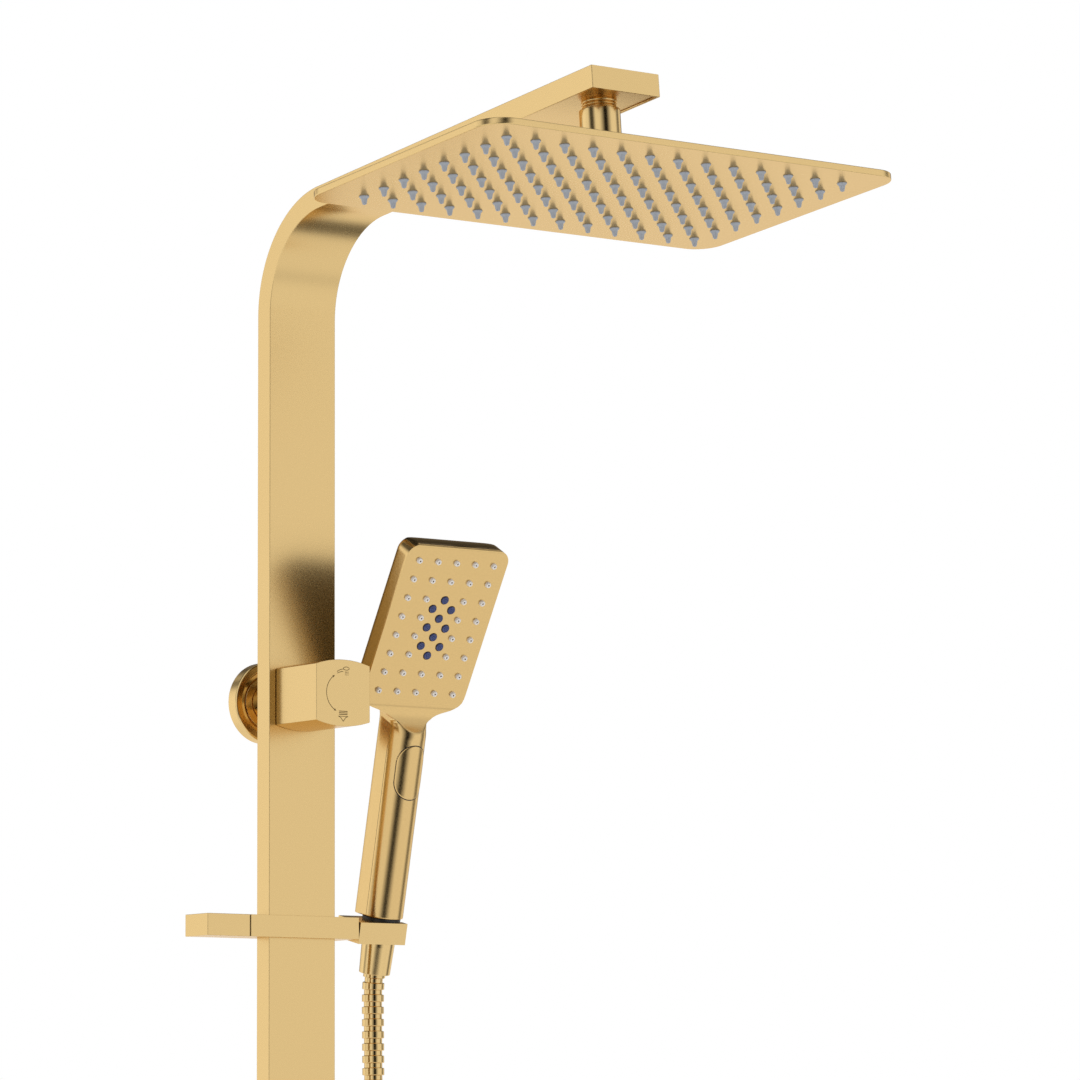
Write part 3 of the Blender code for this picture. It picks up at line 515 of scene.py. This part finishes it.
KNOB_W, KNOB_H, KNOB_SIDE, KNOB_BACK, KNOB_FRONT = 40.6, 42.0, 35.5, 46.85, 92.4
LOW_BRACKET_Z = -800.0
FLANGE = [(12.3, 4.0), (12.3, 6.5), (16.9, 6.5), (17.0, 4.6), (17.8, 4.6), (17.9, 6.5), (20.6, 7.6),
          (21.2, 9.0), (25.2, 9.0), (26.0, 8.2), (26.0, 0.0), (22.0, 0.0), (22.0, 4.0), (12.3, 4.0)]


def make_wall_fittings():
    """Two flanges on the wall with their tubes, all turned about lines square to the wall."""
    out = (0, -1, 0)
    for tag, z, flange, tube in (("inlet", 0.0, "wall_flange", "inlet_tube"),
                                 ("low_bracket", LOW_BRACKET_Z, "lower_wall_flange", "lower_bracket_post")):
        ob = lathe(tag + "_flange", FLANGE, (0, 0, z), out, "column", 120, 0.35)
        dress(ob, TURNED, "satin_gold", flange)
        prof = [(8.0, 0.0), (12.0, 0.0), (12.0, COL_BACK - 0.3), (8.0, COL_BACK - 0.3), (8.0, 0.0)]
        dress(lathe(tag + "_tube", prof, (0, 0, z), out, "column", 96, 0.3), TURNED, "satin_gold", tube)


def make_diverter():
    """Knob with flat sides and shallow arcs above and below, carried out from the column, with engraved
    marks."""
    sag = (KNOB_H - KNOB_SIDE) / 2
    rad = ((KNOB_W / 2) ** 2 + sag ** 2) / (2 * sag)
    a = np.linspace(1, -1, 33) * np.arctan2(KNOB_W / 2, rad - sag)
    top = np.stack([rad * np.sin(a), KNOB_SIDE / 2 + sag - rad + rad * np.cos(a)], -1)
    line = np.vstack([top, -top])
    x, z = line.T
    rings = [np.column_stack([x, np.full(len(line), -y), z]) for y in (KNOB_BACK, KNOB_FRONT)]
    ob = hard_block("diverter_knob_body", rings, 0.35)
    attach(ob, "diverter")
    dress(ob, SATIN, "satin_gold", "diverter_knob")
    # A thin black disc in the gap between the column and the knob: painted shade in that gap.
    prof = [(6.0, 46.1), (19.0, 46.1), (19.0, 46.9), (6.0, 46.9)]
    dark = lathe("diverter_gap_shade", prof, (0, 0, 0), (0, -1, 0), "column", 64, 0.1)
    dress(dark, BLACK_AND_GAP_SHADE, "black_plastic", "diverter_base")
    make_marks()


def stroke(line, width):
    """Ribbon of two rows, half a width either side of a line of (x, z) points."""
    p = np.asarray(line, float)
    d = np.gradient(p, axis=0)
    n = np.stack([-d[:, 1], d[:, 0]], -1) / np.linalg.norm(d, axis=1)[:, None]
    return np.stack([p + n * width / 2, p - n * width / 2], 0)


def make_marks():
    """Engraved marks on the knob's front: a turning arc with two arrow heads, a small hand spray above
    and a rain plate with drops below."""
    s = Shape()
    y = -(KNOB_FRONT + 0.03)

    def lay(grid):
        g = np.asarray(grid, float)
        s.grid(np.stack([g[..., 0], np.full(g.shape[:2], y), g[..., 1]], -1), False)

    a = np.radians(np.linspace(128, 238, 40))
    lay(stroke(np.stack([12.6 * np.cos(a), 12.6 * np.sin(a)], -1), 0.42))
    for ang, sign in ((128, -1), (238, 1)):
        t = radians(ang)
        c = 12.6 * np.array([cos(t), sin(t)])
        d = sign * np.array([-sin(t), cos(t)])
        n = np.array([cos(t), sin(t)])
        tip = c + d * 1.7
        lay(np.array([[c + n * 0.75, tip], [c - n * 0.75, tip]]))
    k = np.linspace(0, 1, 9)
    u = np.radians(np.linspace(0, 360, 25))
    head = np.array([2.3, 15.4])
    lay(stroke(np.stack([-4.8 + 5.2 * k, 13.2 + 1.9 * np.sin(k * 1.5)], -1), 0.4))
    lay(stroke(np.stack([-4.6 + 4.6 * k, 12.2 + 1.3 * np.sin(k * 1.5)], -1), 0.4))
    lay(stroke(head + np.stack([2.2 * np.cos(u), 1.0 * np.sin(u)], -1), 0.4))
    for dx in (-1.0, 0.0, 1.0):
        lay(stroke(np.array([[2.6 + dx, 13.6], [2.6 + dx, 12.9], [2.6 + dx, 12.2]]), 0.35))
        lay(stroke(np.array([[2.6 + dx, 11.7], [2.6 + dx, 11.4], [2.6 + dx, 11.1]]), 0.35))
    for z in (-11.6, -12.6, -13.6):
        lay(stroke(np.stack([-3.2 + 6.4 * k, z + 0 * k], -1), 0.5))
    lay(stroke(np.array([[-3.6, -14.8], [-1.8, -15.6], [0.0, -18.0]]), 0.4))
    lay(stroke(np.array([[3.6, -14.8], [1.8, -15.6], [0.0, -18.0]]), 0.4))
    lay(stroke(np.stack([-3.6 + 7.2 * k, -14.8 + 0 * k], -1), 0.35))
    ob = s.make("diverter_knob_marks", False, "diverter")
    dress(ob, ENGRAVED_AND_SEAT_SHADE, "satin_gold")


# ---------------------------------------------------------------- slider and holder

BAR_Z, BAR_HALF, BAR_FRONT, BAR_BACK = -144.9, 6.9, -50.0, -24.0


def box_rings(x0, x1, y0, y1, z0, z1):
    """Two rings of four corners, at x0 and x1, of an upright box."""
    return [np.array([[x, y0, z0], [x, y1, z0], [x, y1, z1], [x, y0, z1]]) for x in (x0, x1)]


def make_slider():
    """Bar across the column with a slot for it, a clamp block on the left and a tilting holder on the
    right."""
    z0, z1 = BAR_Z - BAR_HALF, BAR_Z + BAR_HALF
    bar = hard_block("slider_bar", box_rings(-41.0, 41.0, BAR_FRONT, BAR_BACK, z0, z1))
    slot = box_rings(-25.5, 25.5, -46.7, -31.7, z0 - 8, z1 + 8)
    cut(bar, hard_block("slider_slot_cutter", slot))
    bevel(bar, 0.35)
    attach(bar, "slider")
    dress(bar, SATIN, "satin_gold", "slider_body")
    knob = hard_block("clamp_block", box_rings(-73.2, -41.6, BAR_FRONT, BAR_BACK, z0, z1), 0.35)
    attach(knob, "clamp")
    dress(knob, SATIN, "satin_gold", "clamp_knob")
    # A thin black sheet, set in from the faces, in the gap between the bar's end and the clamp block: painted
    # shade in that gap.
    thin = box_rings(-41.55, -40.8, BAR_FRONT + 1, BAR_BACK - 1, z0 + 1, z1 - 1)
    gap_shade = hard_block("clamp_gap_shade", thin, 0.1)
    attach(gap_shade, "slider")
    dress(gap_shade, BLACK_AND_GAP_SHADE, "black_plastic")
    make_holder()


def make_holder():
    """Holder block tilted with the hand shower: the bar's own section, bored to a cone and slotted to the
    side, with a black liner ring."""
    q = np.array([[-13.0, -BAR_HALF], [13.0, -BAR_HALF], [13.0, BAR_HALF], [-13.0, BAR_HALF]])
    rings = [PIVOT + 0.5 * LEAN_UP + x * EX + q[:, :1] * LEAN_BACK + q[:, 1:] * LEAN_UP for x in (41.5, 77.5)]
    ob = hard_block("holder_block", rings)
    bore = turned([(11.85, -12.0), (12.15, 12.0)], NUT_C, LEAN_UP, 96)
    tool = Shape().grid(bore).cap(bore[0], True).cap(bore[1]).make("holder_bore_cutter", False)
    turn_out(tool)
    cut(ob, tool)
    b = np.array([[0.0, -7.6], [40.0, -7.6], [40.0, 7.6], [0.0, 7.6]])
    gate = [NUT_C + b[:, :1] * EX + b[:, 1:] * LEAN_BACK + s * LEAN_UP for s in (-20.0, 20.0)]
    cut(ob, hard_block("holder_gate_cutter", gate))
    bevel(ob, 0.35)
    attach(ob, "cradle")
    dress(ob, SATIN, "satin_gold", "cradle")
    a = np.radians(np.linspace(40, 320, 80))
    prof = soften([(11.1, 9.3), (12.3, 9.3), (12.3, 7.2), (11.75, 7.2), (11.55, -6.9), (10.95, -6.9),
                   (11.1, 9.3)], 0.2)
    r, h = prof[:, :1], prof[:, 1:]
    local = np.stack([r * np.cos(a), r * np.sin(a), h + 0 * a], -1)
    g = place(local, NUT_C, EX, np.cross(LEAN_UP, EX), LEAN_UP)
    s = Shape().grid(g, False).cap(g[:-1, 0]).cap(g[:-1, -1], True)
    liner = s.make("holder_liner", True, "cradle")
    turn_out(liner)
    dress(liner, BLACK_AND_GAP_SHADE, "black_plastic", "cradle_bush")


# ---------------------------------------------------------------- hand shower

HANDLE_R, FACE_W, FACE_TOP, FACE_BACK = 13.0, 39.2, 53.9, -14.8
BUTTON_W, BUTTON_STRAIGHT, BUTTON_UP = 23.0, 11.5, 104.5


def face_xyz(x, y, n):
    """Face coordinates (across, up, out) to the row frame."""
    return FACE_C + x[..., None] * EX + y[..., None] * FACE_UP + n[..., None] * FACE_N


AXIS_0 = np.array([np.dot(CONE_C - FACE_C, FACE_UP), np.dot(CONE_C - FACE_C, FACE_N)])
AXIS_D = np.array([np.dot(LEAN_UP, FACE_UP), np.dot(LEAN_UP, FACE_N)])
OUT_D = np.array([-np.dot(LEAN_BACK, FACE_UP), -np.dot(LEAN_BACK, FACE_N)])


def step(x, a, b):
    """Smooth step from 0 at a to 1 at b."""
    t = np.clip((x - a) / (b - a), 0, 1)
    return t * t * (3 - 2 * t)


def half_width(y):
    """Half width of the hand shower against height on the face: a quarter circle at the top corners,
    straight sides, then a rounded corner and a hollow curve into the handle."""
    top = FACE_W - 8.5 + np.sqrt(np.clip(8.5 ** 2 - np.clip(y - (FACE_TOP - 8.5), 0, 8.5) ** 2, 0, None))
    at = np.array([-90, -76, -72, -69, -66.5, -64.5, -62.8, -61.4, -60.3, -59.4, -58.4, -57.2, -55.4, -53.0,
                   -49.5, -46])
    w = np.array([13, 13, 13, 13.1, 13.6, 14.9, 17.2, 20.6, 24.4, 28.0, 31.4, 34.0, 36.6, 38.4, 39.1, 39.2])
    return np.minimum(np.interp(y, at, w), top)


def scoop(y):
    """Height of the face over its own plane: flat, then rising as a power of the distance below y = -56."""
    return 15.4 * (np.clip(-56.0 - y, 0, None) / 14.0) ** 2.2


def smooth_min(a, b, k):
    """The lesser of two heights, rounded off over k."""
    h = np.clip(0.5 + 0.5 * (b - a) / k, 0, 1)
    return b * (1 - h) + a * h - k * h * (1 - h)


def head_rows(sign):
    """Rows of the head in face coordinates for the front (sign 1) or back (sign -1) half: superellipse
    sections, capped by the face and its scoop in front."""
    y = np.concatenate([np.arange(-80.0, -46.0, 0.5), np.linspace(-46, 40, 12), np.linspace(42, 52.4, 22),
                        FACE_TOP - 1.0 + 1.0 * np.sin(np.radians(np.linspace(0, 90, 7)))])[:, None]
    t = np.linspace(0, pi, 97)[None, :]
    mix = step(y, -74.0, -54.0)
    s_mid = (y - AXIS_0[0]) / AXIS_D[0]
    axis_n = AXIS_0[1] + s_mid * AXIS_D[1]
    seam = axis_n + (-1.9 - axis_n) * step(y, -72.0, -57.0)
    end = np.sqrt(np.clip(1 - np.clip(y - (FACE_TOP - 1.0), 0, 1.0) ** 2, 0, 1))
    inset = 1.0 * (1 - end) if sign < 0 else 0.5 * (1 - end)
    w = half_width(y) - inset
    lift = 13.0 / AXIS_D[0]
    gap = 0.16 + 0.22 * mix
    if sign > 0:
        p = 2.0 + 6.0 * step(y, -66.0, -58.0)
        x = w * np.sign(np.cos(t)) * np.abs(np.cos(t)) ** (2 / p)
        tall = (axis_n + lift - seam) * (1 - mix) + 4.5 * mix
        h = seam + tall * np.abs(np.sin(t)) ** (2 / p)
        n = smooth_min(scoop(y) + 0 * t, h, 0.5)
        n = seam + gap + (n - seam - gap) * end
    else:
        e = 0.18 + 0 * y
        x = w * np.sign(np.cos(t)) * np.abs(np.cos(t)) ** e
        back = (axis_n - lift * 14.7 / 13.0) * (1 - step(y, -72, -54)) + FACE_BACK * step(y, -72, -54)
        deep = (seam - back) * np.abs(np.sin(t)) ** e
        n = seam - gap - (deep - gap) * end
    return x, y + 0 * t, n


def handle_rows(sign):
    """Rows of the handle: its section carried along its axis, each row tilted a little more until it lies
    across the face's own height."""
    s_end = (-80.0 - AXIS_0[0]) / AXIS_D[0]
    s = np.concatenate([9.7 + 0.6 * (1 - np.cos(np.radians(np.linspace(0, 90, 5)))), [10.8, 30.0, 50.0],
                        np.linspace(60, s_end, 22)[:-1]])[:, None]
    t = np.linspace(0, pi, 97)[None, :]
    e = 1.0 if sign > 0 else 0.18
    rim = 0.6 * (1 - np.sqrt(np.clip(1 - (np.clip(10.3 - s, 0, 0.6) / 0.6) ** 2, 0, 1)))
    r = HANDLE_R - rim
    deep = r if sign > 0 else r + 1.7
    x = r * np.sign(np.cos(t)) * np.abs(np.cos(t)) ** e
    o = sign * (0.16 + (deep - 0.16) * np.abs(np.sin(t)) ** e)
    tilt = np.clip((s - 60.0) / (s_end - 60.0), 0, 1)
    along = s - tilt * o * OUT_D[0] / AXIS_D[0]
    return CONE_C + x[..., None] * EX - o[..., None] * LEAN_BACK + along[..., None] * LEAN_UP


def make_handset():
    """Two half shells, each one grid that runs up the handle and on over the head, then nozzles and
    button."""
    for sign, name, nodes in ((1, "handset_front_shell", ("handset_front", "handset_faceplate")),
                              (-1, "handset_back_shell", ("handset_back",))):
        x, y, n = head_rows(sign)
        pts = np.concatenate([handle_rows(sign), face_xyz(x, y, n)])
        s = Shape().grid(pts, True).cap(pts[0], True).cap(pts[-1])
        ob = s.make(name, True, "handset")
        turn_out(ob)
        ob.data.set_sharp_from_angle(angle=radians(38))
        dress(ob, PLATED, "plated_plastic", *nodes)
    make_face_nozzles()
    make_button()


def make_face_nozzles():
    """36 pale nozzles on a five by eight grid and ten blue ones in a diamond pattern on its middle
    columns."""
    px, py, drop = 14.37, 12.96, 1.75
    i, j = np.meshgrid(np.arange(5), np.arange(8), indexing="ij")
    i, j = i.ravel(), j.ravel()
    keep = ~((i == 2) & (j >= 2) & (j <= 5))
    x, y = (i - 2) * px, (3.5 - j) * py - drop
    pale = np.stack([x, y], -1)[keep]
    k = np.arange(2, 6)
    mid = np.stack([0 * k, (3.5 - k) * py - drop], -1)
    half = np.array([[s * px / 2, (3.0 - a) * py - drop] for a in (2, 3, 4) for s in (-1, 1)])
    blue = np.vstack([mid, half])
    spots = face_xyz(pale[:, 0], pale[:, 1], np.zeros(len(pale)))
    prof = [(2.0, -0.3), (2.0, 0.2), (1.8, 1.5), (1.6, 1.75), (1.25, 1.82), (0.6, 1.78), (0.5, 1.5)]
    ob = many("face_nozzles_pale", spots, prof, FACE_N, 14, "handset")
    dress(ob, PALE, "pale_silicone", "handset_nozzles")
    # A small dark plug inside each nozzle's hole: painted shade in the hole.
    hole = [(0.55, 1.2), (0.55, 1.6), (0.3, 1.61)]
    dress(many("face_nozzle_painted_shade", spots, hole, FACE_N, 10, "handset"), NOZZLE_HOLE_SHADE, "pale_silicone")
    spots = face_xyz(blue[:, 0], blue[:, 1], np.zeros(len(blue)))
    prof = [(2.55, -0.3), (2.55, 0.5), (2.4, 1.0), (2.1, 1.2), (1.85, 1.2), (1.6, 0.8), (1.2, 0.75),
            (1.0, 1.05), (0.55, 1.1), (0.45, 0.8)]
    dress(many("face_jets_blue", spots, prof, FACE_N, 18, "handset"), BLUE, "blue_silicone", "handset_jets")
    # A thin dark ring round each blue jet: painted shade round the jet's rim.
    ring = [(3.05, -0.2), (3.0, 0.03), (2.6, 0.03), (2.45, -0.1)]
    dress(many("face_jet_shade_rings", spots, ring, FACE_N, 18, "handset"), ENGRAVED_AND_SEAT_SHADE, "plated_plastic")


def stadium(w, h, steps):
    """Outline of a stadium, w wide and h high: half circles joined by straight sides."""
    r = w / 2
    a = np.radians(np.linspace(0, 180, steps))
    top = np.stack([r * np.cos(a), h / 2 - r + r * np.sin(a)], -1)
    return np.vstack([top, -top])


def wrap(x, s, r):
    """A point x along the arc and s above the button's middle, at radius r from the handle's axis."""
    a = x / HANDLE_R
    return (CONE_C + (r * np.sin(a))[..., None] * EX - (r * np.cos(a))[..., None] * LEAN_BACK
            + (s + BUTTON_UP)[..., None] * LEAN_UP)


def make_button():
    """Mode button: a stadium wrapped on the handle's front, softly proud, with a black ring in the gap round
    it as painted shade.
    """
    line = stadium(BUTTON_W, BUTTON_W + BUTTON_STRAIGHT, 30)
    k = np.concatenate([np.linspace(0.02, 0.9, 8), [0.93, 0.955, 0.97, 0.982, 0.99, 0.997, 1.0, 1.0],
                        np.linspace(0.9, 0.02, 8)])
    rise = np.concatenate([np.full(8, 0.32), [0.32, 0.31, 0.29, 0.25, 0.2, 0.1, 0.0], np.full(9, -1.4)])
    p = k[:, None, None] * line[None]
    g = wrap(p[..., 0], p[..., 1], HANDLE_R + rise[:, None] + 0 * p[..., 0])
    s = Shape().grid(g, True).cap(g[0], True).cap(g[-1])
    ob = s.make("mode_button_cap", True, "button")
    turn_out(ob)
    dress(ob, PLATED, "plated_plastic", "mode_button")
    # Black ring in the gap round the button: painted shade in the gap.
    rings = []
    for wider, r in ((-0.2, 12.6), (0.0, 13.04), (1.1, 13.04), (1.3, 12.6)):
        q = stadium(BUTTON_W + wider, BUTTON_W + wider + BUTTON_STRAIGHT, 30)
        rings.append(wrap(q[:, 0], q[:, 1], np.full(len(q), r)))
    ob = Shape().grid(np.array(rings + rings[:1])).make("mode_button_gap_shade", True, "handset")
    turn_out(ob)
    dress(ob, BLACK_AND_GAP_SHADE, "black_plastic")


# ---------------------------------------------------------------- hose

HOSE_LONG, RING_PITCH, HOSE_ACROSS = 1500.0, 7.8, 0.014
RING_STARTS = np.array([0.0, 0.02, 0.05, 0.56, 0.59, 0.61, 0.63, 0.98])
RING_RADII = np.array([5.95, 6.85, 7.05, 7.05, 6.85, 5.95, 5.8, 5.8])


def make_nuts():
    """Conical nut under the holder and the straight one on the outlet, both turned."""
    top = [(8.4, 9.4), (10.8, 9.4), (10.62, -6.9), (10.6, -9.4), (9.95, -27.5), (7.3, -27.5), (7.3, -16.0),
           (8.4, -15.0), (8.4, 9.4)]
    ob = lathe("hose_cone_nut", top, NUT_C, LEAN_UP, "handset", 96, 0.4)
    dress(ob, TURNED, "satin_gold", "hose_top_nut")
    low = [(8.4, 0.0), (10.5, 0.0), (10.5, 16.0), (9.6, 28.0), (7.3, 28.0), (7.3, 17.0), (8.4, 16.0),
           (8.4, 0.0)]
    outlet, down = (0, -COL_MID, OUTLET_Z), (0, 0, -1)
    ob = lathe("hose_outlet_nut", low, outlet, down, "column", 96, 0.4)
    dress(ob, TURNED, "satin_gold", "hose_bottom_nut")
    nip = [(3.6, -20.0), (12.0, -20.0), (12.0, -0.6), (8.0, -0.6), (8.0, 14.0), (3.6, 14.0)]
    ob = lathe("outlet_spigot", nip, outlet, down, "column", 72, 0.3)
    dress(ob, TURNED, "satin_gold", "outlet_nipple")


def hose_line():
    """Centre line of the hose: out of the cone nut, straight down, half a circle, and up to the outlet,
    smoothed by a running mean over points a millimetre apart."""
    start = NUT_C - LEAN_UP * 25.5
    drop = np.array([HS_X, start[1] + 2.2, start[2] - 24.0])
    end = np.array([0, -COL_MID, OUTLET_Z - 22.0])
    half = HS_X / 2
    near = start - LEAN_UP * 9.0
    used = 9.0 + np.linalg.norm(drop - near) + pi * half
    z = (drop[2] + end[2] - (HOSE_LONG - used)) / 2
    a = np.linspace(0, pi, 49)
    arc = np.stack([half + half * np.cos(a), np.full(49, end[1]), z - half * np.sin(a)], -1)
    k = np.linspace(0, 1, 40)[1:, None]
    fall = drop + (np.array([HS_X, end[1], z]) - drop) * k
    key = np.vstack([start, near, drop, fall, arc[1:], end])
    d = np.concatenate([[0], np.cumsum(np.linalg.norm(np.diff(key, axis=0), axis=1))])
    u = np.linspace(0, d[-1], int(d[-1]) + 1)
    line = np.stack([np.interp(u, d, key[:, i]) for i in range(3)], -1)
    pad = np.vstack([2 * line[0] - line[13:0:-1], line, 2 * line[-1] - line[-2:-15:-1]])
    weight = np.hanning(27)
    weight /= weight.sum()
    return np.stack([np.convolve(pad[:, i], weight, "valid") for i in range(3)], -1)


def make_hose():
    """Metal hose of rings: a stepped radius carried along the centre line, 7.8 mm a ring, in three lengths."""
    line = hose_line()
    d = np.concatenate([[0], np.cumsum(np.linalg.norm(np.diff(line, axis=0), axis=1))])
    total = d[-1]
    rings = int(total / RING_PITCH)
    u = ((np.arange(rings)[:, None] + RING_STARTS) * (total / rings)).ravel()
    r = np.tile(RING_RADII, rings)
    u, r = np.append(u, total), np.append(r, 6.0)
    at = np.stack([np.interp(u, d, line[:, i]) for i in range(3)], -1)
    reach = 3.0
    ahead = np.stack([np.interp(np.clip(u + reach, 0, total), d, line[:, i]) for i in range(3)], -1)
    behind = np.stack([np.interp(np.clip(u - reach, 0, total), d, line[:, i]) for i in range(3)], -1)
    t = ahead - behind
    t /= np.linalg.norm(t, axis=1)[:, None]
    side = np.array([0, 1.0, 0]) - t * t[:, 1:2]
    side /= np.linalg.norm(side, axis=1)[:, None]
    up = np.cross(t, side)
    a = np.linspace(0, 2 * pi, 24, endpoint=False)
    g = at[:, None] + r[:, None, None] * (np.cos(a)[None, :, None] * side[:, None]
                                          + np.sin(a)[None, :, None] * up[:, None])
    short = 13 * len(RING_RADII)
    cuts = [0, short, 2 * short, len(u) - 1]
    names = ("hose_upper", "hose_middle", "hose_loop")
    obs = []
    for name, i, j in zip(names, cuts[:-1], cuts[1:]):
        part = g[i:j + 1]
        ob = Shape().grid(part).cap(part[0], True).cap(part[-1]).make(name, True)
        turn_out(ob)
        ob.data.set_sharp_from_angle(angle=radians(28))
        dress(ob, HOSE_GOLD, "satin_gold")
        obs.append(ob)
    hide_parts("hose")
    p = at / 1000
    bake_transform(obs[0])
    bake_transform(obs[1])
    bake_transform(obs[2])
    for k, ob in enumerate(obs):
        path = p[cuts[k]:cuts[k + 1] + 1:4]
        path = np.vstack([path, p[cuts[k + 1]]])


# ---------------------------------------------------------------- light, floor and camera

LENS, CAM_AZ, CAM_PITCH, CAM_ROLL = 177.61767, 36.279, 6.940, -0.263
CAM_AT = (-1.87136, -2.85132, -0.30945)


def make_camera():
    """Long lens from the front left, a little below the middle, looking slightly up."""
    cam = bpy.data.cameras.new("camera")
    ob = bpy.data.objects.new("camera", cam)
    bpy.context.scene.collection.objects.link(ob)
    cam.sensor_width = 36.0
    cam.lens = LENS
    cam.clip_start, cam.clip_end = 0.1, 60.0
    a, e, r = radians(CAM_AZ), radians(CAM_PITCH), radians(CAM_ROLL)
    fwd = Vector((sin(a) * cos(e), cos(a) * cos(e), sin(e)))
    right = Vector((cos(a), -sin(a), 0))
    up = right.cross(fwd)
    right, up = right * cos(r) + up * sin(r), up * cos(r) - right * sin(r)
    rot = Matrix((right, up, -fwd)).transposed().to_4x4()
    ob.matrix_world = Matrix.Translation(Vector(CAM_AT)) @ rot
    bpy.context.scene.camera = ob


# Dark gaps, in degrees: centre (from +y towards +x), lean per degree of height, half width, soft edge, depth,
# lowest and highest height. TOP_DARK: where the ceiling starts to darken, where it is darkest, by how much.
GAPS = ((198.0, -0.61, 7.0, 28.0, 1.0, -30, 60), (266.0, 0.0, 7.0, 16.0, 0.95, 2, 60),
        (303.0, 0.0, 3.0, 10.0, 0.6, -60, -4), (342.0, 0.0, 3.0, 8.0, 0.7, 4, 50),
        (102.0, 0.0, 5.0, 14.0, 0.75, -24, 50), (322.0, 0.0, 10.0, 12.0, -0.13, -60, 60),
        (36.0, 0.0, 24.0, 16.0, 0.8, -3, 70), (62.0, 0.0, 9.0, 14.0, 0.9, -66, -44),
        (142.0, 0.0, 4.0, 12.0, 0.3, -38, -30))
TOP_DARK = (0.42, 0.66, 0.9)
LEVEL = 1.03
FLOOR_Z, FLOOR_HALF, FLOOR_GLOW = -1330.0, 6e3, 0.35


def make_studio():
    """White room: even light all round with soft dark gaps between the light panels, and a pale floor."""
    scene = bpy.context.scene
    scene.view_settings.view_transform = "Standard"
    world = bpy.data.worlds.new("studio")
    scene.world = world
    t = Tree(world)
    co = t.node("ShaderNodeTexCoord", None, out=0)
    parts = t.nodes.new("ShaderNodeSeparateXYZ")
    t.links.new(co.socket, parts.inputs[0])
    x, y, z = (Value(t, parts.outputs[k]) for k in range(3))
    turn = t.node("ShaderNodeMath", {"operation": "ARCTAN2"}, x, y) * (180 / pi)
    rise = z.math("ARCSINE") * (180 / pi)
    behind = ((y + 0.1) / 0.3).clip() * 0.8 + 0.2
    light = 1.0 - ((z - TOP_DARK[0]) / (TOP_DARK[1] - TOP_DARK[0])).clip() * behind * TOP_DARK[2]
    for centre, lean, half, soft_edge, depth, low, high in GAPS:
        off = ((turn - centre - rise * lean) * (pi / 180)).math("COSINE").math("ARCCOSINE") * (180 / pi)
        mask = 1.0 - ((off - half) / soft_edge).clip()
        band = ((rise - low) / 8.0).clip() * (1.0 - ((rise - high) / 8.0).clip())
        light = light * (1.0 - mask * band * depth)
    camera = t.node("ShaderNodeLightPath", None, out=0)
    level = camera + (1 - camera) * light * LEVEL
    bg = t.node("ShaderNodeBackground", None, Color=rgb(1, 1, 1), Strength=level)
    out = t.nodes.new("ShaderNodeOutputWorld")
    t.links.new(bg.socket, out.inputs["Surface"])
    corners = [[x * FLOOR_HALF, y * FLOOR_HALF, FLOOR_Z] for x, y in ((-1, -1), (1, -1), (1, 1), (-1, 1))]
    floor = surface("floor", corners, [[0, 1, 2, 3]], False)
    floor.data.materials.append(soft("pale_floor", (0.8, 0.79, 0.77), 0.8, 0.03, 20.0))
    floor.visible_glossy = floor.visible_diffuse = False
    shader = floor.data.materials[0].node_tree.nodes["Principled BSDF"]
    shader.inputs["Emission Strength"].default_value = FLOOR_GLOW


make_riser()
make_head()
make_neck()
make_wall_fittings()
make_diverter()
make_slider()
make_handset()
make_nuts()
make_hose()
for part in frame["record"]["subparts"]:
    shown = frame["nodes"][part["node"]]
    if not shown.hide_render:
        shown.data.materials.clear()
        shown.data.materials.append(FINISH[part["material_slot"]])
make_camera()
make_studio()
note_size()
